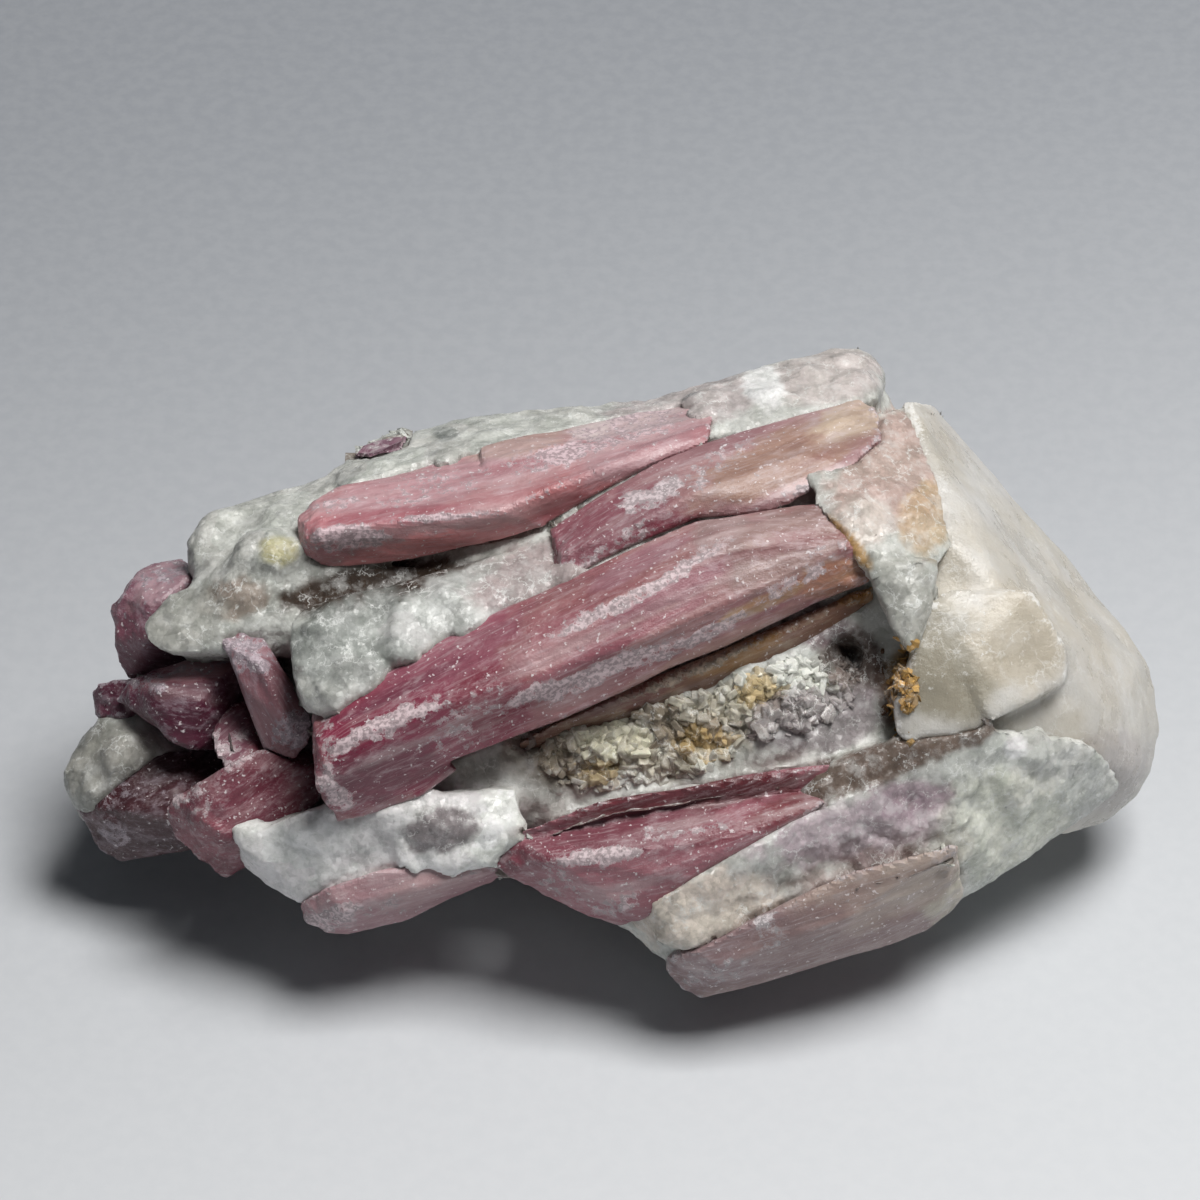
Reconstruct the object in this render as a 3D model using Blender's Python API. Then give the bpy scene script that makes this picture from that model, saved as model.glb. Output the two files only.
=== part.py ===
"""Rough tourmaline specimen: pink prisms in white feldspar, with a milky quartz end."""

import math
import random

import bmesh
import bpy
from mathutils import Vector
from mathutils.bvhtree import BVHTree

MM = 0.001

# The broken face leans back by this much, and its corners are read on a measuring grid
# laid over it: steps across, steps down, and millimetres out of the face.
FACE_TILT = math.radians(45.0)
GRID_STEP = 0.0818
GRID_MIDDLE = 600.0
GRID_RIGHT = -0.57
GRID_UP = 5.56
SIGHT_DISTANCE = 400.0
FACE_HEIGHT = 23.0
CENTRE_X = 0.26
CENTRE_Y = 4.71

GROWTH_REACH = 0.48
SPECIMEN_SEED = 4


def at(across, down, out):
    """The point, in millimetres, of one reading on the leaning face."""
    step = GRID_STEP * (SIGHT_DISTANCE - out) / SIGHT_DISTANCE
    right = GRID_RIGHT + (across - GRID_MIDDLE) * step
    up = GRID_UP - (down - GRID_MIDDLE) * step
    return Vector((
        right - CENTRE_X,
        up * math.sin(FACE_TILT) - out * math.cos(FACE_TILT) - CENTRE_Y,
        up * math.cos(FACE_TILT) + out * math.sin(FACE_TILT) + FACE_HEIGHT,
    ))


def block(seen, hidden=()):
    """Corners of one convex block: readings on the face, and points on the sides away from it."""
    away = [Vector((x - CENTRE_X, y - CENTRE_Y, z)) for x, y, z in hidden]
    return [at(*reading) for reading in seen] + away


def prism(start, end, start_radius, end_radius, slants, sides=9, turn=0.3):
    """Corners of a tapering prism, three-sided with bulging sides, and broken off aslant."""
    first = Vector(start) - Vector((CENTRE_X, CENTRE_Y, 0.0))
    last = Vector(end) - Vector((CENTRE_X, CENTRE_Y, 0.0))
    along = (last - first).normalized()
    side = along.cross(Vector((0.0, 0.0, 1.0))).normalized()
    top = side.cross(along)
    corners = []
    ends = ((first, start_radius, slants[0]), (last, end_radius, slants[1]))
    for middle, radius, slant in ends:
        for index in range(sides):
            angle = turn + index * math.tau / sides
            reach = radius * (1.0 + 0.12 * math.cos(3.0 * angle))
            corners.append(
                middle
                + side * reach * math.cos(angle)
                + top * reach * math.sin(angle)
                + along * slant * reach * math.cos(angle + turn)
            )
    return corners


def hull_mesh(corners):
    """The convex hull of some corners, as an edit mesh in metres."""
    shape = bmesh.new()
    for corner in corners:
        shape.verts.new(corner * MM)
    found = bmesh.ops.convex_hull(shape, input=shape.verts)
    spare = [item for item in found["geom_interior"] if isinstance(item, bmesh.types.BMVert)]
    bmesh.ops.delete(shape, geom=spare, context="VERTS")
    loose = [vertex for vertex in shape.verts if not vertex.link_faces]
    bmesh.ops.delete(shape, geom=loose, context="VERTS")
    bmesh.ops.recalc_face_normals(shape, faces=shape.faces)
    return shape


def hull_object(name, corners, collection):
    shape = hull_mesh(corners)
    mesh = bpy.data.meshes.new(name)
    shape.to_mesh(mesh)
    shape.free()
    solid = bpy.data.objects.new(name, mesh)
    collection.objects.link(solid)
    return solid


def many_hulls(name, blocks):
    """Several hulls as one tool."""
    tool = hull_object(name, blocks[0], cutters)
    shape = bmesh.new()
    shape.from_mesh(tool.data)
    for corners in blocks[1:]:
        added = hull_mesh(corners)
        mesh = bpy.data.meshes.new("added")
        added.to_mesh(mesh)
        added.free()
        shape.from_mesh(mesh)
        bpy.data.meshes.remove(mesh)
    shape.to_mesh(tool.data)
    shape.free()
    return tool


def grown(corners):
    """Corners moved out on all sides, so that a pocket leaves a seam round its crystal."""
    offsets = []
    for axis in range(3):
        for way in (-1.0, 1.0):
            offset = Vector((0.0, 0.0, 0.0))
            offset[axis] = way * GROWTH_REACH
            offsets.append(offset)
    return [corner + offset for corner in corners for offset in offsets]


def boolean(solid, tool, operation):
    """Applies one Boolean and removes its tool."""
    step = solid.modifiers.new(operation.lower(), "BOOLEAN")
    step.operation = operation
    step.solver = "EXACT"
    step.use_self = tool.name.startswith("lumps")
    step.object = tool
    with bpy.context.temp_override(object=solid, active_object=solid, selected_objects=[solid]):
        bpy.ops.object.modifier_apply(modifier=step.name)
    bpy.data.objects.remove(tool)


def join_blocks(name, blocks, collection):
    """One solid from overlapping convex blocks."""
    solid = hull_object(name, blocks[0], collection)
    for corners in blocks[1:]:
        boolean(solid, hull_object("added", corners, cutters), "UNION")
    return solid


def clear_for(solid, blocks):
    """Cuts a pocket for a neighbour, with the seam left open round it."""
    for corners in blocks:
        boolean(solid, hull_object("pocket", grown(corners), cutters), "DIFFERENCE")


def keep_largest(solid):
    """Drops the crumbs that a cut leaves beside the main body."""
    shape = bmesh.new()
    shape.from_mesh(solid.data)
    waiting = set(shape.verts)
    bodies = []
    while waiting:
        reached = [waiting.pop()]
        body = set(reached)
        while reached:
            vertex = reached.pop()
            for edge in vertex.link_edges:
                other = edge.other_vert(vertex)
                if other in waiting:
                    waiting.discard(other)
                    body.add(other)
                    reached.append(other)
        bodies.append(body)
    bodies.sort(key=len, reverse=True)
    crumbs = [vertex for body in bodies[1:] for vertex in body]
    bmesh.ops.delete(shape, geom=crumbs, context="VERTS")
    shape.to_mesh(solid.data)
    shape.free()


def lump(centre, size, rise, outward, rng):
    """A blunt many-sided lump, wider than it is high, half sunk in the surface it grows from."""
    side = outward.orthogonal().normalized()
    third = outward.cross(side)
    turn = rng.uniform(0.0, math.tau)
    across = side * math.cos(turn) + third * math.sin(turn)
    along = outward.cross(across)
    lengthening = rng.uniform(1.0, 1.5)
    corners = []
    for height, reach, count in ((-0.8, 0.8, 3), (0.15, 1.0, 4), (0.6, 0.55, 3)):
        start = rng.uniform(0.0, math.tau)
        for index in range(count):
            angle = start + (index + rng.uniform(-0.25, 0.25)) * math.tau / count
            corners.append(
                centre
                + across * size * lengthening * reach * math.cos(angle)
                + along * size * reach * math.sin(angle)
                + outward * size * rise * (height + rng.uniform(-0.12, 0.12))
            )
    return corners


def lumps_on_face(solid, outline, count, size, rng):
    """Lumps scattered where sight lines through an outline on the grid meet the solid."""
    tree = BVHTree.FromObject(solid, bpy.context.evaluated_depsgraph_get())
    left = min(x for x, _ in outline)
    right = max(x for x, _ in outline)
    high = min(y for _, y in outline)
    low = max(y for _, y in outline)
    made = []
    while len(made) < count:
        x = rng.uniform(left, right)
        y = rng.uniform(high, low)
        if not inside(x, y, outline):
            continue
        near = at(x, y, 40.0)
        far = at(x, y, -40.0)
        hit, normal, _, _ = tree.ray_cast(near * MM, (far - near).normalized())
        reach = rng.uniform(size * 0.7, size * 1.3)
        if hit is not None:
            made.append(lump(hit / MM, reach, 1.0, normal, rng))
        else:
            made.append(None)
    return [corners for corners in made if corners]


def inside(x, y, outline):
    """Whether a grid point lies inside an outline."""
    within = False
    for (x0, y0), (x1, y1) in zip(outline, outline[1:] + outline[:1]):
        if (y0 > y) != (y1 > y) and x < x0 + (y - y0) * (x1 - x0) / (y1 - y0):
            within = not within
    return within


def lumps_from(solid, source, spread, count, size, rng):
    """Lumps where lines from a point away from the solid, towards its middle, meet it."""
    tree = BVHTree.FromObject(solid, bpy.context.evaluated_depsgraph_get())
    made = []
    for _ in range(count):
        aim = Vector((
            rng.uniform(-spread, spread),
            rng.uniform(-spread * 0.4, spread * 0.4),
            rng.uniform(9.0, 27.0),
        ))
        start = Vector(source) + Vector((aim.x, 0.0, 0.0))
        hit, normal, _, _ = tree.ray_cast(start * MM, (aim - start).normalized())
        reach = rng.uniform(size * 0.6, size * 1.4)
        if hit is not None:
            made.append(lump(hit / MM, reach, LOW_RISE, normal, rng))
    return made


def material(name, colour, roughness):
    made = bpy.data.materials.new(name)
    made.use_nodes = True
    shader = made.node_tree.nodes["Principled BSDF"]
    shader.inputs["Base Color"].default_value = (*colour, 1.0)
    shader.inputs["Roughness"].default_value = roughness
    shader.inputs["Metallic"].default_value = 0.0
    return made


for spare in list(bpy.data.objects):
    bpy.data.objects.remove(spare)
specimen = bpy.data.collections.new("tourmaline_specimen")
cutters = bpy.data.collections.new("cutters")
cutters.hide_render = True
bpy.context.scene.collection.children.link(specimen)
bpy.context.scene.collection.children.link(cutters)
rng = random.Random(SPECIMEN_SEED)

# The crystals, each as the convex blocks between its edges and ridges
crystals = {}

crystals["main_crystal"] = [
    block([
        (313, 715, 8.0), (318, 740, 12.0), (317, 785, 11.5), (333, 812, 9.0),
        (385, 668, 9.8), (500, 620, 9.6), (640, 545, 8.4), (695, 520, 7.8), (830, 505, 7.5),
        (340, 742, 12.8), (440, 705, 13.4), (610, 604, 12.6), (740, 545, 11.2),
        (520, 692, 12.6), (640, 640, 12.6), (760, 588, 11.6), (850, 545, 10.0),
        (455, 762, 9.4), (600, 698, 9.6), (700, 652, 9.4), (868, 578, 8.4),
        (325, 730, 1.0), (335, 800, 1.5), (690, 530, 0.0), (860, 570, 1.0),
    ]),
    block([
        (330, 790, 10.6), (336, 822, 7.4), (420, 797, 8.0), (456, 770, 7.6), (440, 752, 9.6),
        (345, 800, 1.5), (450, 760, 1.0),
    ]),
]
crystals["ridge_crystal"] = [
    block([
        (548, 528, 5.2), (600, 496, 5.2), (650, 467, 4.2), (700, 447, 2.8), (800, 416, 0.2),
        (862, 398, -1.5), (880, 415, -0.5), (880, 440, 2.0),
        (560, 556, 8.2), (640, 522, 8.6), (700, 492, 8.0), (800, 455, 5.4),
        (558, 586, 8.0), (640, 543, 8.0), (695, 518, 7.6), (790, 500, 6.6), (850, 466, 5.0),
        (560, 560, 0.5), (700, 500, -2.0), (860, 420, -5.0),
    ]),
]
crystals["upper_crystal"] = [
    block([
        (300, 518, 4.0), (298, 546, 4.0), (320, 566, 3.4), (345, 567, 3.6), (400, 561, 4.0),
        (470, 546, 4.6), (545, 527, 4.8), (318, 532, 6.4), (420, 521, 7.2), (500, 512, 7.2),
        (550, 490, 6.4), (312, 503, 3.4), (340, 488, 2.6), (440, 461, 0.2), (560, 441, -1.4),
        (315, 530, -2.0), (420, 500, -4.0), (545, 490, -6.0),
    ]),
    block([
        (500, 512, 7.0), (540, 527, 4.8), (600, 494, 4.8), (650, 465, 4.0), (705, 443, 2.2),
        (550, 490, 6.6), (600, 470, 5.6), (650, 447, 3.6), (710, 425, 0.8),
        (480, 449, 0.4), (560, 436, -1.2), (640, 414, -3.6), (715, 402, -5.0),
        (520, 500, -4.0), (700, 430, -8.0),
    ]),
]
crystals["under_crystal"] = [
    block([
        (515, 745, 5.8), (560, 722, 7.0), (700, 668, 7.0), (790, 628, 7.0), (872, 588, 6.4),
        (520, 758, 4.0), (600, 722, 4.6), (700, 692, 5.4), (750, 668, 5.6), (805, 640, 5.6),
        (874, 606, 5.2), (560, 715, -1.0), (870, 590, -1.0), (700, 680, -1.0),
    ]),
]
crystals["lower_crystal"] = [
    block([
        (520, 832, 7.4), (600, 801, 8.2), (700, 786, 8.2), (800, 774, 7.6), (884, 757, 7.2),
        (524, 842, 6.2), (700, 816, 6.2), (830, 800, 6.2), (885, 772, 6.2),
        (540, 840, 0.0), (700, 800, 0.0), (880, 765, 1.0),
    ]),
    block([
        (497, 866, 5.8), (508, 838, 6.6), (600, 816, 6.6), (700, 804, 6.8), (800, 792, 7.0),
        (560, 861, 9.0), (640, 850, 9.4), (740, 836, 9.6), (825, 803, 9.0), (690, 878, 9.0),
        (532, 882, 5.4), (562, 904, 4.6), (592, 918, 4.0), (620, 925, 3.6), (640, 918, 6.4),
        (540, 860, -1.0), (700, 840, 1.0), (820, 800, 1.0), (622, 900, -1.0),
    ]),
]
crystals["front_crystal"] = [
    block([
        (667, 958, 4.8), (670, 975, 3.0), (690, 993, 1.6), (702, 996, 1.8), (695, 952, 7.0),
        (800, 910, 8.0), (852, 874, 8.6), (958, 846, 8.0), (720, 965, 6.4), (850, 915, 7.4),
        (745, 986, 2.6), (850, 956, 2.0), (895, 944, 1.2), (926, 931, 0.6), (960, 900, 1.0),
        (690, 960, -3.0), (800, 920, -4.0), (940, 880, -6.0),
    ]),
]
crystals["corner_crystal"] = [
    block([
        (300, 904, 2.4), (304, 918, 1.6), (325, 935, 1.0), (348, 937, 1.0), (405, 922, 1.6),
        (440, 901, 2.0), (480, 885, 2.4), (514, 869, 2.8), (330, 889, 4.8), (380, 871, 6.0),
        (402, 869, 6.0), (345, 912, 5.0), (420, 890, 5.2), (500, 866, 4.4),
        (320, 905, -3.0), (500, 862, -3.0),
    ]),
]
crystals["stub_high"] = [
    block([
        (112, 606, -3.0), (122, 597, -2.0), (134, 589, -2.4), (142, 570, -5.0), (152, 562, -5.6),
        (180, 557, -5.8), (188, 580, -1.6), (165, 597, -0.6), (150, 604, -0.4), (116, 640, -2.6),
        (118, 660, -4.0), (130, 678, -5.0), (150, 660, -3.0), (146, 640, -1.0),
    ], [(-28.0, 9.0, 20.0), (-29.0, 6.0, 15.0)]),
]
crystals["stub_middle"] = [
    block([
        (118, 700, -3.0), (131, 680, -2.2), (152, 668, -1.8), (200, 656, -1.0), (238, 662, -1.6),
        (150, 715, 0.6), (175, 742, 1.0), (192, 748, 0.4), (225, 735, -1.6), (200, 700, 1.8),
        (160, 690, 1.4),
    ], [(-26.0, 5.0, 15.0), (-27.0, 1.0, 11.0)]),
    block([
        (93, 692, -6.0), (100, 686, -5.0), (132, 679, -4.0), (150, 700, -2.8), (120, 716, -3.6),
        (96, 716, -5.4),
    ], [(-31.0, 4.0, 13.0)]),
]
crystals["stub_front"] = [
    block([
        (168, 820, 1.4), (173, 802, 2.4), (203, 792, 4.0), (232, 768, 4.2), (262, 752, 3.0),
        (318, 772, 2.0), (322, 792, 1.6), (300, 812, 1.8), (236, 842, 3.4), (243, 866, -0.4),
        (226, 875, -1.2), (200, 859, -0.4), (175, 838, 0.2), (205, 822, 4.4),
    ], [(-24.0, 1.0, 11.0), (-22.0, -2.0, 16.0)]),
    block([
        (222, 712, -1.0), (238, 702, -1.4), (256, 712, -2.0), (258, 760, 2.4), (228, 768, 2.8),
        (216, 752, 2.0), (214, 735, 0.6),
    ], [(-25.0, 0.0, 13.0)]),
]
crystals["stub_low"] = [
    block([
        (78, 800, -5.0), (98, 793, -4.0), (132, 770, -3.2), (152, 755, -3.4), (182, 752, -4.0),
        (178, 800, -1.0), (172, 818, -1.4), (190, 850, -4.6), (150, 857, -6.0), (120, 862, -7.0),
        (98, 848, -7.0), (88, 828, -5.6), (130, 812, -1.8),
    ], [(-26.0, 5.0, 9.0), (-28.0, 1.0, 7.5)]),
]
crystals["small_column"] = [
    block([
        (222, 640, 4.2), (240, 632, 3.6), (262, 640, 3.4), (292, 688, 4.2), (312, 720, 4.0),
        (308, 746, 3.6), (290, 763, 2.6), (268, 754, 2.4), (262, 720, 3.6), (242, 686, 4.6),
        (262, 668, 5.6), (284, 722, 5.4), (250, 660, -3.0), (300, 740, -3.0),
    ]),
]
crystals["rim_crystal"] = [
    block([
        (350, 455, -4.6), (362, 444, -6.0), (395, 433, -7.2), (412, 432, -7.6), (405, 447, -4.0),
        (372, 456, -3.4), (352, 462, -8.0), (410, 440, -12.0),
    ]),
]
crystals["back_crystal_upper"] = [
    prism((-26.0, 13.6, 20.0), (17.0, 25.6, 25.0), 3.8, 5.4, (0.9, -0.5)),
]
crystals["back_crystal_lower"] = [
    prism((-19.0, 17.6, 9.0), (27.0, 22.4, 10.6), 3.6, 5.0, (-0.8, 0.6), turn=0.9),
]
crystals["sole_crystal"] = [
    prism((-24.0, 7.0, 5.4), (5.0, -2.6, 5.4), 3.0, 3.8, (0.7, 0.5), turn=0.1),
]

# The milky quartz end: a rounded slope with two cleaved facets in front
quartz = [
    block([
        (905, 402, -2.6), (930, 404, -10.0), (957, 438, -11.0), (995, 484, -12.0),
        (1040, 532, -12.0), (1071, 568, -12.0), (1110, 614, -11.0), (1148, 667, -10.0),
        (1158, 721, -9.6), (1152, 767, -9.0), (1133, 794, -8.6), (1102, 824, -8.0),
        (1064, 836, -6.0), (935, 460, 1.2), (950, 540, 6.4), (1000, 590, 7.2),
        (1050, 640, 6.0), (1096, 700, 2.6), (1130, 770, -3.0), (1080, 760, 2.0),
        (930, 610, 6.8), (910, 720, 6.8), (990, 735, 6.6),
    ], [(36.0, 17.0, 12.0), (42.0, 8.0, 8.5), (30.0, 22.0, 14.0), (24.0, 8.0, 14.0), (33.0, 4.0, 7.0)]),
    block([
        (925, 600, 9.0), (978, 612, 8.8), (1000, 700, 8.0), (985, 728, 8.6), (925, 738, 8.8),
        (900, 742, 8.6), (893, 715, 8.8), (912, 660, 9.6), (940, 640, 0.0), (930, 720, 0.0),
    ]),
    block([
        (938, 592, 8.4), (1030, 588, 7.6), (1066, 650, 6.8), (1066, 684, 7.2), (990, 722, 9.4),
        (978, 700, 9.6), (982, 640, 9.0), (960, 640, 0.0), (1050, 680, 0.0),
    ]),
]

# The pale rock that holds the crystals, chunk by chunk
rock = {}
rock["core"] = block([
    (345, 490, -6.0), (560, 432, -8.0), (760, 392, -9.0), (865, 368, -10.0), (262, 640, -6.0),
    (262, 720, -8.0), (300, 815, -3.0), (515, 852, -1.0), (690, 895, -1.0), (930, 880, -4.0),
    (1050, 815, -7.0), (1080, 740, -10.0), (1030, 600, -12.0), (930, 450, -12.0),
    (330, 640, 3.0), (520, 560, 5.0), (700, 480, 4.0), (850, 440, 2.0), (900, 600, 6.0),
    (880, 740, 6.0), (620, 760, 5.0), (420, 760, 4.0), (700, 860, 4.0),
], [
    (-22.0, 4.0, 2.6), (-24.0, 10.0, 4.4), (-8.0, 17.0, 2.6), (15.0, 18.0, 2.0),
    (28.0, 10.0, 4.0), (25.0, -1.0, 3.4), (12.0, -5.0, 1.6), (-5.0, 2.0, 1.4),
    (-27.0, 15.0, 13.0), (-10.0, 24.0, 15.0), (12.0, 28.0, 17.0), (27.0, 26.0, 15.0),
    (37.0, 15.0, 9.0),
])
rock["foot"] = block([], [
    (-15.0, 2.0, -1.0), (-18.0, 8.0, -1.0), (-5.0, 14.0, -1.0), (12.0, 14.0, -1.0),
    (19.0, 7.0, -1.0), (13.0, -3.0, -1.0), (1.0, 0.0, -1.0), (-18.0, 5.0, 6.0),
    (-4.0, 17.0, 6.0), (20.0, 14.0, 6.0), (18.0, -4.0, 6.0), (0.0, 1.0, 6.0),
])
rock["shoulder"] = block([
    (183, 548, -3.0), (190, 560, -1.0), (205, 522, -4.0), (222, 508, -4.6), (250, 497, -5.0),
    (300, 486, -5.0), (335, 472, -5.6), (330, 500, 1.0), (300, 560, 4.4), (240, 572, 4.4),
    (196, 600, 3.0),
], [(-24.0, 14.0, 20.0), (-28.0, 8.0, 16.0)])
rock["hollow_back"] = block([
    (195, 600, 3.0), (230, 572, 4.0), (300, 562, 3.4), (450, 566, 2.4), (400, 600, 2.0),
    (300, 640, 3.0), (232, 652, 3.6), (205, 640, 2.0),
], [(-24.0, 8.0, 16.0), (-10.0, 4.0, 20.0)])
rock["band"] = block([
    (287, 640, 8.4), (290, 622, 8.0), (300, 608, 7.0), (340, 598, 7.6), (400, 590, 7.2),
    (470, 564, 6.2), (545, 540, 4.8), (604, 575, 8.4), (500, 622, 9.4), (385, 668, 10.4),
    (345, 697, 10.6), (325, 712, 10.4), (300, 710, 10.0), (293, 690, 9.4),
    (300, 650, 0.0), (310, 700, 0.0), (590, 560, -1.0),
])
rock["rim"] = block([
    (330, 470, -4.6), (352, 456, -6.4), (385, 442, -7.4), (420, 432, -8.0), (445, 418, -8.6),
    (500, 412, -9.0), (560, 409, -9.4), (600, 405, -9.6), (645, 398, -10.0), (650, 415, -3.0),
    (560, 440, -1.6), (480, 448, -0.2), (400, 468, 0.8), (340, 488, 1.6),
], [(-20.0, 14.0, 22.0), (3.0, 20.0, 24.0)])
rock["shelf"] = block([
    (650, 398, -8.0), (700, 385, -8.4), (735, 372, -8.6), (775, 362, -8.8), (800, 352, -9.6),
    (835, 346, -10.0), (857, 342, -10.6), (875, 352, -11.0), (888, 372, -10.6),
    (880, 398, -3.0), (780, 418, 0.4), (700, 440, 1.4), (650, 425, -1.0),
], [(21.0, 24.0, 22.0), (6.0, 20.0, 22.0)])
rock["cap"] = block([
    (856, 458, 4.4), (890, 404, -1.6), (904, 400, -2.4), (925, 425, -1.0), (938, 480, 3.0),
    (950, 540, 6.6), (948, 560, 8.0), (920, 575, 9.4), (868, 572, 10.4), (840, 515, 9.6),
    (815, 500, 7.8), (808, 476, 6.4), (880, 500, -5.0),
])
rock["blade"] = block([
    (862, 565, 10.8), (925, 560, 11.4), (944, 556, 9.6), (932, 600, 11.0), (910, 656, 11.4),
    (897, 648, 10.6), (882, 612, 10.2), (900, 600, 3.0), (915, 640, 4.0),
])
rock["stain_knob"] = block([
    (888, 690, 8.0), (898, 662, 9.6), (916, 680, 10.6), (918, 706, 10.2), (900, 722, 9.0),
    (890, 708, 8.2), (900, 690, 3.0),
])
rock["smoky_band"] = block([
    (735, 800, 6.0), (800, 772, 7.4), (880, 742, 8.6), (985, 720, 9.0), (1002, 733, 8.4),
    (900, 778, 8.4), (840, 798, 8.0), (800, 780, 0.0), (960, 740, 0.0),
])
rock["low_white"] = block([
    (235, 842, 2.6), (260, 830, 5.0), (300, 810, 6.4), (400, 800, 7.4), (520, 785, 7.2),
    (525, 840, 7.4), (495, 866, 4.6), (440, 882, 4.4), (330, 896, 3.4), (300, 906, 2.4),
    (275, 895, 0.6), (250, 873, 0.2),
], [(-24.0, -3.0, 7.0), (-10.0, -2.0, 10.0)])
rock["low_right"] = block([
    (640, 925, 4.0), (614, 924, 1.0), (655, 908, 8.0), (700, 880, 9.0), (760, 856, 9.2),
    (835, 802, 9.4), (1000, 728, 8.4), (1095, 742, 3.4), (1125, 790, -3.0), (1056, 838, -3.0),
    (1022, 864, -2.0), (949, 911, 0.0), (834, 945, 1.6), (760, 965, 3.4), (690, 970, 4.0),
    (660, 958, 3.0),
], [(8.0, -12.0, 4.0), (24.0, -6.0, 4.0), (-2.0, -2.0, 5.0)])
rock["left_root"] = block([
    (215, 640, -3.0), (255, 640, -3.0), (262, 800, -6.0), (215, 790, -9.0), (190, 700, -9.0),
], [(-22.0, 8.0, 7.0), (-24.0, 6.0, 18.0), (-32.0, 5.0, 12.0)])
rock["white_left"] = block([
    (135, 625, 1.4), (165, 592, 1.0), (192, 584, 1.6), (220, 596, 3.4), (228, 650, 4.0),
    (180, 656, 4.0), (150, 648, 2.8),
], [(-27.0, 7.0, 18.0), (-31.0, 5.0, 19.0)])
rock["white_corner"] = block([
    (57, 778, -6.0), (75, 735, -6.0), (95, 718, -5.0), (125, 702, -5.0), (160, 745, -2.4),
    (130, 760, -1.6), (90, 795, -2.0), (70, 800, -4.0), (78, 822, -6.4), (92, 832, -6.6),
], [(-31.0, 4.0, 10.0), (-38.0, 2.0, 13.0)])
rock["white_wedge"] = block([
    (175, 800, 1.4), (182, 760, 1.6), (195, 740, 1.4), (208, 748, 1.8), (213, 772, 3.0),
    (198, 792, 3.4), (190, 770, -8.0), (225, 780, -8.0),
])

rock_solid = join_blocks("matrix", list(rock.values()), specimen)

# Blocky lumps where the feldspar and the druse stand proud
LUMP_FIELDS = (
    ([(480, 745), (560, 722), (700, 698), (800, 655), (815, 700), (790, 745), (700, 780),
      (560, 810), (490, 790)], 26, 1.3),
    ([(200, 525), (300, 494), (300, 560), (220, 575)], 5, 2.0),
    ([(295, 615), (400, 600), (520, 570), (590, 575), (480, 615), (330, 700)], 11, 1.8),
    ([(345, 472), (450, 430), (640, 406), (640, 414), (450, 455), (360, 480)], 9, 1.3),
    ([(660, 402), (780, 368), (860, 352), (875, 388), (720, 435)], 9, 1.6),
    ([(250, 850), (300, 820), (480, 800), (500, 850), (340, 890), (290, 895)], 10, 1.7),
    ([(790, 865), (900, 785), (1040, 750), (1045, 815), (980, 870)], 15, 1.7),
    ([(655, 920), (760, 870), (775, 900), (690, 940)], 4, 1.7),
    ([(210, 588), (290, 588), (280, 638), (222, 640)], 6, 1.3),
    ([(70, 775), (100, 725), (140, 745), (95, 785)], 3, 1.6),
    ([(850, 505), (900, 440), (935, 540), (885, 560)], 4, 1.6),
)
BACK_LUMPS = 22
SIDE_LUMPS = 8
LOW_RISE = 0.6
blocks = []
for outline, count, size in LUMP_FIELDS:
    blocks += lumps_on_face(rock_solid, outline, count, size, rng)
blocks += lumps_from(rock_solid, (0.0, 90.0, 22.0), 30.0, BACK_LUMPS, 3.8, rng)
blocks += lumps_from(rock_solid, (0.0, 20.0, -60.0), 22.0, SIDE_LUMPS, 3.0, rng)
BATCH = 12
for first in range(0, len(blocks), BATCH):
    boolean(rock_solid, many_hulls("lumps", blocks[first:first + BATCH]), "UNION")

# Hollows: the dark pocket by the quartz, the gaps of the druse and the clefts at the left
HOLLOWS = (
    [(822, 640, 9.0), (850, 622, 9.0), (872, 640, 9.0), (876, 672, 9.0), (850, 690, 9.0),
     (826, 672, 9.0), (838, 648, 1.6), (862, 650, 1.6), (852, 670, 1.6)],
    [(545, 745, 9.0), (580, 738, 9.0), (590, 770, 9.0), (560, 785, 9.0), (565, 760, 3.0)],
    [(665, 735, 9.0), (705, 728, 9.0), (710, 750, 9.0), (675, 755, 9.0), (690, 742, 3.2)],
    [(872, 680, 10.0), (886, 676, 10.0), (890, 716, 10.0), (878, 712, 10.0), (880, 700, 4.0)],
)
for readings in HOLLOWS:
    boolean(rock_solid, hull_object("hollow", block(readings), cutters), "DIFFERENCE")

# The quartz sits over the rock, and every crystal keeps its own pocket in both
quartz_solid = join_blocks("quartz_end", quartz, specimen)
clear_for(rock_solid, quartz)
solids = {}
placed = []
for name, crystal in crystals.items():
    clear_for(rock_solid, crystal)
    clear_for(quartz_solid, crystal)
    solids[name] = join_blocks(name, crystal, specimen)
    for earlier in placed:
        clear_for(solids[name], earlier)
    placed.append(crystal)

# One flat facet to rest on, and no crumbs
floor_block = block([], [
    (x, y, z) for x in (-60.0, 60.0) for y in (-60.0, 60.0) for z in (-20.0, 0.0)
])
boolean(rock_solid, hull_object("floor_cut", floor_block, cutters), "DIFFERENCE")
solids["matrix"] = rock_solid
solids["quartz_end"] = quartz_solid
for solid in solids.values():
    keep_largest(solid)

COLOURS = {
    "matrix": ((0.72, 0.73, 0.70), 0.6),
    "quartz_end": ((0.74, 0.70, 0.66), 0.25),
    "main_crystal": ((0.42, 0.13, 0.19), 0.35),
    "ridge_crystal": ((0.44, 0.24, 0.25), 0.4),
    "upper_crystal": ((0.68, 0.24, 0.26), 0.35),
    "under_crystal": ((0.30, 0.16, 0.12), 0.4),
    "lower_crystal": ((0.40, 0.15, 0.20), 0.4),
    "front_crystal": ((0.46, 0.34, 0.36), 0.35),
}
OTHER_CRYSTAL = ((0.34, 0.14, 0.18), 0.4)
for name, solid in solids.items():
    colour, roughness = COLOURS.get(name, OTHER_CRYSTAL)
    solid.data.materials.clear()
    solid.data.materials.append(material(name, colour, roughness))
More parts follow.
